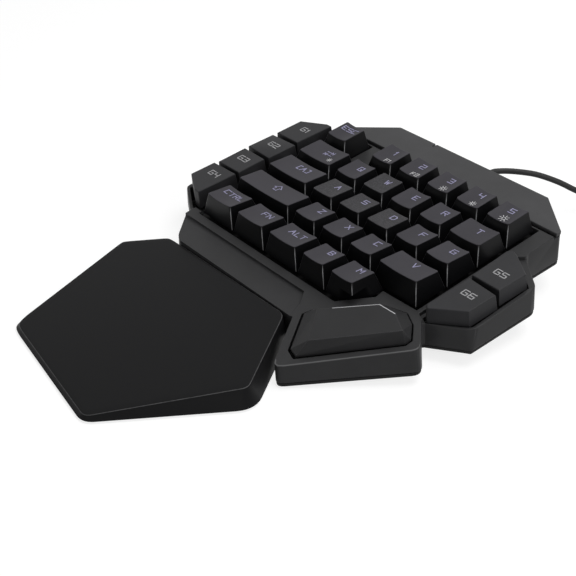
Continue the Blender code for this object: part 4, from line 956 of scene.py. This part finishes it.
def rounded_polygon(corners, radii):
    """Outline of a polygon whose corners are arcs: each arc is a quadratic curve.

    The curve leaves one side and meets the next at the arc's own length from the corner.
    """
    ends = []
    for shift in (1, -1):
        side = np.roll(corners, shift, 0) - corners
        reach = np.minimum(radii, LONGEST_CORNER * np.linalg.norm(side, axis=1))
        ends.append((corners + unit(side) * reach[:, None])[:, None])
    t = np.linspace(0.0, 1.0, ROUND_POINTS)[None, :, None]
    arcs = (1 - t) ** 2 * ends[0] + 2 * t * (1 - t) * corners[:, None] + t ** 2 * ends[1]
    return arcs.reshape(-1, 2)


def grown(outline, amount):
    """Outline moved outward by an amount, each point square to the line between its neighbours."""
    after = np.roll(outline, -1, 0)
    step = unit(after - np.roll(outline, 1, 0))
    area = (outline[:, 0] * after[:, 1] - after[:, 0] * outline[:, 1]).sum()
    return outline + np.stack([step[:, 1], -step[:, 0]], -1) * amount * math.copysign(1.0, area)


def wrist_places(shares):
    """Corners of the rest's outlines from shares of its width and depth."""
    left = WRIST_RIGHT_SHARE * KEY_PITCH - WRIST_WIDTH
    rear = STRIP_FRONT_SHARE * KEY_PITCH - WRIST_LIFT
    return np.array(shares) * [WRIST_WIDTH, WRIST_DEPTH] + [left, rear]


def wrist_foot():
    """Corners of the rest's lower outline: each side moved outward, the right one furthest."""
    corners = wrist_places(WRIST_SHARES)
    sides = unit(corners - np.roll(corners, 1, 0)), unit(np.roll(corners, -1, 0) - corners)
    before, after = (np.stack([side[:, 1], -side[:, 0]], -1) for side in sides)
    middle = unit(before + after)
    foot = corners + middle * WRIST_FLARE / (middle * after).sum(1)[:, None]
    foot[[0, -1]] = corners[[0, -1]]
    foot[-2:, 0] += WRIST_SIDE_FLARE
    return foot


def resampled(outline, count):
    """Closed outline as evenly spaced points."""
    loop = np.concatenate([outline, outline[:1]])
    run = walked(loop)
    places = np.linspace(0.0, run[-1], count, endpoint=False)
    return np.stack([np.interp(places, run, loop[:, axis]) for axis in range(2)], -1)


def wrist_rest_shell(material):
    """Shell of the wrist rest: rings from the inner ceiling down, round the rim, up and over.

    The roof is a plane that rises to the rear and to the right. The wall leans from the flared foot
    to the roof's outline, and its edge is a quarter circle.
    """
    corners, plate_corners = wrist_places(WRIST_SHARES), wrist_places(WRIST_BASE_SHARES)
    top = rounded_polygon(corners, WRIST_CORNERS)
    outward = rounded_polygon(wrist_foot(), WRIST_FOOT_CORNERS)
    plate = rounded_polygon(plate_corners, (WRIST_BASE_CORNER,) * len(plate_corners))
    plate = grown(resampled(plate, PLATE_POINTS), GAP)
    rear, mid_x, middle = top[:, 1].max(), corners[:, 0].mean(), top.mean(0)

    def direction(outline):
        return np.arctan2(outline[:, 1] - middle[1], outline[:, 0] - middle[0])

    def roof(points, drop):
        height = WRIST_HEIGHT + WRIST_SLOPE * (points[:, 1] - rear)
        return level(points, height + WRIST_CROSS_SLOPE * (points[:, 0] - mid_x) - drop)

    turn = np.abs((direction(plate)[None] - direction(top)[:, None] + math.pi) % math.tau - math.pi)
    opening = plate[np.argmin(turn, axis=1)]
    rings = [roof(middle + (opening - middle) * 0.5, WRIST_SKIN), roof(opening, WRIST_SKIN),
             level(opening, WRIST_LIFT),
             level(outward - (outward - middle) * FOOT_BEVEL_SHARE, WRIST_LIFT),
             level(outward, WRIST_LIFT + FOOT_BEVEL_HEIGHT)]
    highlight_ring = len(rings) + HIGHLIGHT_EDGE_RING
    for angle in np.linspace(0.0, math.pi / 2, EDGE_RINGS + 1):
        rings.append(roof(grown(top, -WRIST_EDGE * (1.0 - math.cos(angle))),
                          WRIST_EDGE * (1.0 - math.sin(angle))))
    for shrink in ROOF_RINGS:
        rings.append(roof(middle + (grown(top, -WRIST_EDGE) - middle) * shrink, 0.0))
    poles = [roof(middle[None], drop)[0] for drop in (WRIST_SKIN, 0.0)]
    vertices, faces = closed_loft(np.array(rings), *poles)
    placed_vertices = to_world(vertices, Matrix.Translation(OFFSET))
    shell = new_piece("wrist_rest_shell", placed_vertices, faces, material)
    # painted highlight along one ring of the roof's rounded edge
    painted_highlight = np.zeros(len(vertices))
    painted_highlight[highlight_ring * len(top):(highlight_ring + 1) * len(top)] = 1.0
    set_highlight_and_wear(shell, painted_highlight)
    fix_outside(shell)
    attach(shell, "wrist_rest")
    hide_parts("wrist_rest_cover")


def fix_outside(piece):
    """Normals recalculated outward on one closed form."""
    bpy.ops.object.select_all(action="DESELECT")
    bpy.context.view_layer.objects.active = piece
    piece.select_set(True)
    bpy.ops.object.mode_set(mode="EDIT")
    bpy.ops.mesh.select_all(action="SELECT")
    bpy.ops.mesh.remove_doubles(threshold=0.000001)
    bpy.ops.mesh.normals_make_consistent(inside=False)
    bpy.ops.object.mode_set(mode="OBJECT")


# Rounding of the edges of each node whose own form stays, with its finish
ROUNDED_NODES = {
    "top_cover": (0.0004, "case"), "rear_trim": (0.0004, "trim"), "bottom_cover": (0.0003, "base"),
    "thumb_key": (0.0005, "thumb"), **{key: (0.0004, "side") for key in SIDE_LEGEND_PLACES},
    "usb_plug": (0.0008, "jacket"),
}
# Finish of each CAD node that stays as it is
NODE_FINISHES = {
    "flip_foot_left": "base", "flip_foot_right": "base", "wrist_rest_base": "base",
    "key_frame": "inner", "dome_sheet": "silicone", "membrane_sheet": "film",
    "controller_board": "board", "usb_plug_shell": "steel", "wrist_pad_rear": "rubber",
    "wrist_pad_front": "rubber", "front_pad_left": "rubber", "front_pad_right": "rubber",
    **{name: "steel" for name in frame["nodes"] if name.startswith("case_screw")},
}
# Angle below which faces are joined and above which an edge is rounded, steps of a rounding, and
# the room that an edge needs round it, in widths of its rounding
FLAT_ANGLE = math.radians(1.5)
HARD_ANGLE = math.radians(25.0)
ROUND_STEPS = 3
ROOM = 2.2
# Painted highlight lines: how far they reach, and the share of that which is at full highlight
LINE_REACH = 0.00045
LINE_CORE = 0.3
# Thumb deck's front edge in key pitches, with a point of the side before and of the side after it; a
# painted highlight line runs along it
DECK_EDGE_SHARES = ((4.987, -3.591), (5.958, -4.976), (7.837, -2.409), (7.113, -1.654))
DECK_EDGE_REACH = (0.0045, 0.0040)
DECK_EDGE_POINTS = 4
# Ridge of the thumb key's top facet in the world, from its left end to its right rear end; a painted
# highlight line runs along it
THUMB_RIDGE = (
    (0.04454, -0.00900, 0.02129), (0.05719, 0.00600, 0.02324), (0.06635, 0.00621, 0.02327),
)
MERGE_REACH = 0.000002


def apart(first, second):
    """Least distance between two edges of one flat face that don't cross."""
    gaps = []
    for edge, other in ((first, second), (second, first)):
        start, end = (vert.co for vert in other.verts)
        for vert in edge.verts:
            share = intersect_point_line(vert.co, start, end)[1]
            gaps.append((vert.co - start.lerp(end, min(1.0, max(0.0, share)))).length)
    return min(gaps)


def roomy(edge, reach):
    """True where the edge ends in plain corners, and no edge by it is closer or shorter than this."""
    if any(len(vert.link_edges) != 3 for vert in edge.verts):
        return False
    for face in edge.link_faces:
        for other in face.edges:
            if not set(other.verts) & set(edge.verts) and apart(edge, other) < reach:
                return False
    return all(other.calc_length() > reach for vert in edge.verts for other in vert.link_edges)


def rounded_copy(node, width, finish):
    """Copy of a CAD node with rounded edges: doubles merged, flat faces joined, edges bevelled.

    An edge is bevelled where the edges round it leave room for that.
    """
    mesh = frame["nodes"][node].data.copy()
    bm = bmesh.new()
    bm.from_mesh(mesh)
    bmesh.ops.remove_doubles(bm, verts=bm.verts, dist=MERGE_REACH)
    bmesh.ops.dissolve_limit(bm, angle_limit=FLAT_ANGLE, verts=bm.verts, edges=bm.edges)
    hard = [edge for edge in bm.edges if len(edge.link_faces) == 2
            and edge.calc_face_angle() > HARD_ANGLE and roomy(edge, ROOM * width)]
    bmesh.ops.bevel(bm, geom=hard, offset=width, segments=ROUND_STEPS, profile=0.5, affect="EDGES",
                    clamp_overlap=False)
    bm.to_mesh(mesh)
    bm.free()
    mesh.materials.clear()
    mesh.materials.append(finish)
    piece = placed(node + "_rounded", mesh)
    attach(piece, body_of(frame["nodes"][node])[0])
    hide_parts(node)


def thumb_deck_edge():
    """Front edge of the thumb deck in the world, with its two rounded corners.

    Each corner is a quadratic curve, as in the part's source.
    """
    sharp = [Vector(share) * KEY_PITCH for share in DECK_EDGE_SHARES]
    line = []
    for before, corner, after, reach in zip(sharp, sharp[1:], sharp[2:], DECK_EDGE_REACH):
        start, end = (corner + (side - corner).normalized() * reach for side in (before, after))
        for t in np.linspace(0.0, 1.0, DECK_EDGE_POINTS).tolist():
            line.append(start.lerp(corner, t).lerp(corner.lerp(end, t), t))
    return [OFFSET + Vector((x, y, DECK_HEIGHT + y * math.tan(DECK_TILT))) for x, y in line]


# Stage: the photograph's view, in the key block's frame
CAMERA_PLACE = (0.408281, -0.330887, 0.296880)
CAMERA_AZIMUTH = math.radians(50.356)
CAMERA_ELEVATION = math.radians(33.304)
CAMERA_ROLL = math.radians(0.035)
SENSOR = 36.0
LENS = SENSOR * 1157.89 / 576.0
WHITE = (1.0, 1.0, 1.0, 1.0)
FLOOR_RADIUS = 4.0
FLOOR_SIDES = 96
LIT_POINT = (0.03, 0.0, 0.02)
# Lamps: place in the world, size, setting that holds the power
LAMPS = {
    "top_lamp": ((0.15, 0.35, 1.10), 0.9, "top_power"),
    "right_lamp": ((1.20, 0.10, 0.75), 0.7, "right_power"),
    "front_strip": ((0.45, -1.15, 0.10), 0.25, "strip_power"),
    "side_strip": ((1.15, -0.55, 0.10), 0.25, "strip_power"),
}


def make_camera():
    """Camera at the photograph's place: it looks down from in front and to the right."""
    across = math.cos(CAMERA_ELEVATION)
    back = Vector((math.sin(CAMERA_AZIMUTH) * across, -math.cos(CAMERA_AZIMUTH) * across,
                   math.sin(CAMERA_ELEVATION)))
    right = (-back).cross(Vector((0.0, 0.0, 1.0))).normalized()
    turn = Matrix((right, back.cross(right), back)).transposed().to_4x4()
    data = bpy.data.cameras.new("camera")
    data.lens, data.sensor_width = LENS, SENSOR
    data.clip_start, data.clip_end = 0.01, 20.0
    camera = placed("camera", data)
    camera.matrix_world = (Matrix.Translation(Vector(CAMERA_PLACE) + OFFSET) @ turn
                           @ Matrix.Rotation(CAMERA_ROLL, 4, "Z"))
    bpy.context.scene.camera = camera


def soft_light(name, place, size, power):
    """Square lamp of a size, turned to the keypad."""
    data = bpy.data.lights.new(name, "AREA")
    data.size, data.energy = size, power
    lamp = placed(name, data)
    lamp.location = place
    lamp.rotation_euler = (Vector(LIT_POINT) - Vector(place)).to_track_quat("-Z", "Y").to_euler()


def make_world(ambient):
    """White to the camera and in reflections, plain grey light elsewhere."""
    bpy.context.scene.world = bpy.data.worlds.new("plain_light")
    nodes = Nodes(bpy.context.scene.world)
    plain = nodes.tree.nodes["Background"]
    nodes.feed(plain, {"Strength": ambient, "Color": WHITE})
    white = nodes.add("Background", {"Strength": 1.0, "Color": WHITE})
    both = nodes.add("MixShader", {0: nodes.seen(), 1: plain.outputs[0], 2: white})
    nodes.feed(nodes.tree.nodes["World Output"], {"Surface": both})


def floor_finish(paper, glow):
    """Matt white floor that keeps a soft shadow: part of its white is its own on seen rays."""
    nodes = Finish("white_floor", 0.0)
    nodes.surface(nodes.mixed(nodes.noise(PAPER_SCALE), (paper,) * 3, (paper * 1.01,) * 3), 0.9)
    strength = nodes.add("Math", {0: nodes.seen(), 1: glow}, operation="MULTIPLY")
    own = nodes.add("Emission", {"Strength": strength, "Color": WHITE})
    both = nodes.add("AddShader", {0: nodes.shader.outputs[0], 1: own})
    nodes.feed(nodes.tree.nodes["Material Output"], {"Surface": both})
    return nodes.material


def make_floor(finish):
    """Level round floor: one flat disc."""
    points = level(circle(FLOOR_SIDES) * FLOOR_RADIUS, 0.0)
    floor = new_piece("floor", points, [list(range(FLOOR_SIDES))], finish, smooth=False)


def colour(name, *value):
    """Setting that holds a colour."""
    return FloatVectorProperty(name=name, description="Colour of the " + name.lower(), size=3,
                               default=value, min=0.0, max=1.0, subtype="COLOR")


def amount(name, default, most, description, least=0.0, **more):
    """Setting that holds a number."""
    return FloatProperty(name=name, description=description, default=default, min=least, max=most,
                         **more)


class KeypadColours(bpy.types.PropertyGroup):
    """Colours of the keypad's finishes."""

    caps: colour("Cap tops", 0.045, 0.043, 0.050)
    pebbled: colour("Pebbled cap tops", 0.034, 0.033, 0.037)
    # cap walls near black, far darker than the tops: partly their own glossy black, partly painted
    # shade
    cap_walls: colour("Cap walls", 0.004, 0.004, 0.0045)
    # painted highlight down the caps' front right corners and along the thumb ridge, a little wear on
    # the caps' other corners
    wear: colour("Painted highlights and wear of corners and ridge", 0.600, 0.600, 0.620)
    case: colour("Top cover", 0.030, 0.030, 0.031)
    trim: colour("Rear trim", 0.060, 0.060, 0.062)
    side_keys: colour("Side keys", 0.029, 0.029, 0.031)
    thumb: colour("Thumb key", 0.023, 0.023, 0.024)
    rest: colour("Wrist rest", 0.0065, 0.0065, 0.0070)
    # painted highlight along the wrist rest's edge and along the thumb deck's front edge
    painted_edge_highlight: colour("Painted edge highlights", 0.110, 0.110, 0.112)
    base: colour("Bottom cover, feet and plate", 0.012, 0.012, 0.012)
    ink: colour("Legends", 0.330, 0.320, 0.480)
    small_ink: colour("Small legends", 0.700, 0.700, 0.710)
    side_ink: colour("Side legends", 0.420, 0.420, 0.430)
    rubber: colour("Pads and strain relief", 0.010, 0.010, 0.010)
    jacket: colour("Cable and plug", 0.012, 0.012, 0.012)


class KeypadSizes(bpy.types.PropertyGroup):
    """Fine sizes of the finishes."""

    grain: amount("Grain", 0.00030, 0.002, "Size of the moulded grain", 0.00005, unit="LENGTH",
                  precision=5)
    edge: amount("Edge", 0.00045, 0.002, "Radius that hard edges seem to have", unit="LENGTH",
                 precision=5)


class StageLight(bpy.types.PropertyGroup):
    """Light and floor of the stage."""

    ambient: amount("Ambient", 0.15, 3.0, "Strength of the even light")
    top_power: amount("Top lamp", 9.0, 200.0, "Power of the soft lamp above", unit="POWER")
    right_power: amount("Right lamp", 5.0, 200.0, "Power of the soft lamp at the right", unit="POWER")
    strip_power: amount("Low lamps", 1.0, 200.0, "Power of each low lamp in front", unit="POWER")
    paper: amount("Floor tone", 0.30, 1.0, "Share of light the floor gives back", subtype="FACTOR")
    floor_glow: amount("Floor glow", 0.80, 1.0, "White the floor shows by itself", subtype="FACTOR")


class KEYPAD_OT_stage(bpy.types.Operator):
    """Camera at the photograph's view, white floor and plain soft light"""

    bl_idname = "keypad.stage"
    bl_label = "Stage"

    def execute(self, context):
        light = context.scene.keypad_light
        make_camera()
        make_world(light.ambient)
        make_floor(floor_finish(light.paper, light.floor_glow))
        for name, (place, size, power) in LAMPS.items():
            soft_light(name, place, size, getattr(light, power))
        return {"FINISHED"}


class KEYPAD_OT_cable(bpy.types.Operator):
    """Cable with its strain relief, coil and tie"""

    bl_idname = "keypad.cable"
    bl_label = "Cable"

    def execute(self, context):
        colours = context.scene.keypad_colours
        jacket = soft_rubber("cable_jacket_finish", colours.jacket, 0.5)
        rubber = soft_rubber("rubber_finish", colours.rubber)
        make_relief(rubber)
        make_cable(jacket, rubber)
        return {"FINISHED"}


class KEYPAD_OT_caps(bpy.types.Operator):
    """Twenty-eight caps of the key block"""

    bl_idname = "keypad.caps"
    bl_label = "Key caps"

    def execute(self, context):
        colours, grain = context.scene.keypad_colours, context.scene.keypad_sizes.grain
        # cap walls: near-black colour partly painted shade, with painted corner highlights
        wall = highlighted_plastic("cap_wall_plastic", colours.cap_walls, colours.wear, 0.30, grain)
        plain = moulded_plastic("cap_top_plastic", colours.caps, 0.50, grain)
        pebbled = pebbled_plastic("pebbled_cap_plastic", colours.pebbled, 0.50)
        for key in BLOCK_KEYS:
            block_cap(*key, wall, pebbled if key[0] in TEXTURED_KEYS else plain)
        return {"FINISHED"}


class KEYPAD_OT_legends(bpy.types.Operator):
    """Printed legends on the caps and side keys"""

    bl_idname = "keypad.legends"
    bl_label = "Legends"

    def execute(self, context):
        colours = context.scene.keypad_colours
        ink = printed_ink("legend_ink", colours.ink)
        small_ink = printed_ink("small_legend_ink", colours.small_ink)
        side_ink = printed_ink("side_legend_ink", colours.side_ink)
        for key in BLOCK_KEYS:
            block_legends(*key, ink, small_ink)
        for name in SIDE_LEGEND_PLACES:
            side_legend(name, side_ink)
        return {"FINISHED"}


class KEYPAD_OT_wrist_rest(bpy.types.Operator):
    """Shell of the wrist rest"""

    bl_idname = "keypad.wrist_rest"
    bl_label = "Wrist rest"

    def execute(self, context):
        colours = context.scene.keypad_colours
        wrist_rest_shell(highlighted_plastic("rest_plastic_finish", colours.rest, colours.painted_edge_highlight, 0.42,
                                      0.00025, 0.07))
        return {"FINISHED"}


class KEYPAD_OT_finishes(bpy.types.Operator):
    """Finishes of the parts whose CAD shape stays"""

    bl_idname = "keypad.finishes"
    bl_label = "Case and inner parts"

    def execute(self, context):
        colours, sizes = context.scene.keypad_colours, context.scene.keypad_sizes
        grain, edge = sizes.grain, sizes.edge
        # edges of the case, trim, side keys, thumb and base are painted lighter, part wear and part
        # painted highlight; the case and thumb key also carry painted highlight lines along the
        # deck's front edge and the ridge
        finishes = {
            "case": moulded_plastic("case_plastic_finish", colours.case, 0.45, grain, edge, 1.8,
                                    (thumb_deck_edge(), colours.painted_edge_highlight)),
            "trim": moulded_plastic("trim_plastic_finish", colours.trim, 0.45, grain, edge),
            "side": moulded_plastic("side_key_plastic", colours.side_keys, 0.45, grain, edge),
            "thumb": moulded_plastic("thumb_key_plastic", colours.thumb, 0.42, grain, edge * 1.5,
                                     3.0, (THUMB_RIDGE, colours.wear)),
            "base": moulded_plastic("base_plastic_finish", colours.base, 0.55, 0.0005, edge),
            "inner": moulded_plastic("inner_plastic", colours.base, 0.60, 0.0006),
            "silicone": soft_rubber("silicone_finish", SILICONE, 0.6),
            "film": printed_ink("membrane_film_finish", FILM),
            "board": circuit_laminate("circuit_board_finish", SOLDER_MASK, TRACKS),
            "rubber": bpy.data.materials["rubber_finish"],
            "jacket": bpy.data.materials["cable_jacket_finish"],
            "steel": plated_steel("steel_finish", STEEL),
        }
        for node, (width, finish) in ROUNDED_NODES.items():
            rounded_copy(node, width, finishes[finish])
        for node, finish in NODE_FINISHES.items():
            mesh = frame["nodes"][node].data
            mesh.materials.clear()
            mesh.materials.append(finishes[finish])
        return {"FINISHED"}


OPERATORS = (KEYPAD_OT_stage, KEYPAD_OT_cable, KEYPAD_OT_caps, KEYPAD_OT_legends,
             KEYPAD_OT_wrist_rest, KEYPAD_OT_finishes)


class KEYPAD_PT_sidebar(bpy.types.Panel):
    """Lists the keypad's steps and settings"""

    bl_idname = "KEYPAD_PT_sidebar"
    bl_label = "Gaming keypad"
    bl_space_type = "VIEW_3D"
    bl_region_type = "UI"
    bl_category = "Keypad"

    def draw(self, context):
        for operator in OPERATORS:
            self.layout.operator(operator.bl_idname)
        for group in SETTINGS:
            settings = getattr(context.scene, group)
            for name in settings.__annotations__:
                self.layout.prop(settings, name)


SETTINGS = {"keypad_colours": KeypadColours, "keypad_sizes": KeypadSizes,
            "keypad_light": StageLight}
CLASSES = (*SETTINGS.values(), *OPERATORS, KEYPAD_PT_sidebar)


def register():
    for kind in CLASSES:
        bpy.utils.register_class(kind)
    for name, kind in SETTINGS.items():
        setattr(bpy.types.Scene, name, PointerProperty(type=kind))


def unregister():
    for name in SETTINGS:
        delattr(bpy.types.Scene, name)
    for kind in reversed(CLASSES):
        bpy.utils.unregister_class(kind)


def main():
    """Registers the add-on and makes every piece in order."""
    register()
    bpy.context.scene.view_settings.view_transform = "Standard"
    for operator in OPERATORS:
        getattr(bpy.ops.keypad, operator.bl_idname.split(".")[1])()


if __name__ == "__main__":
    main()
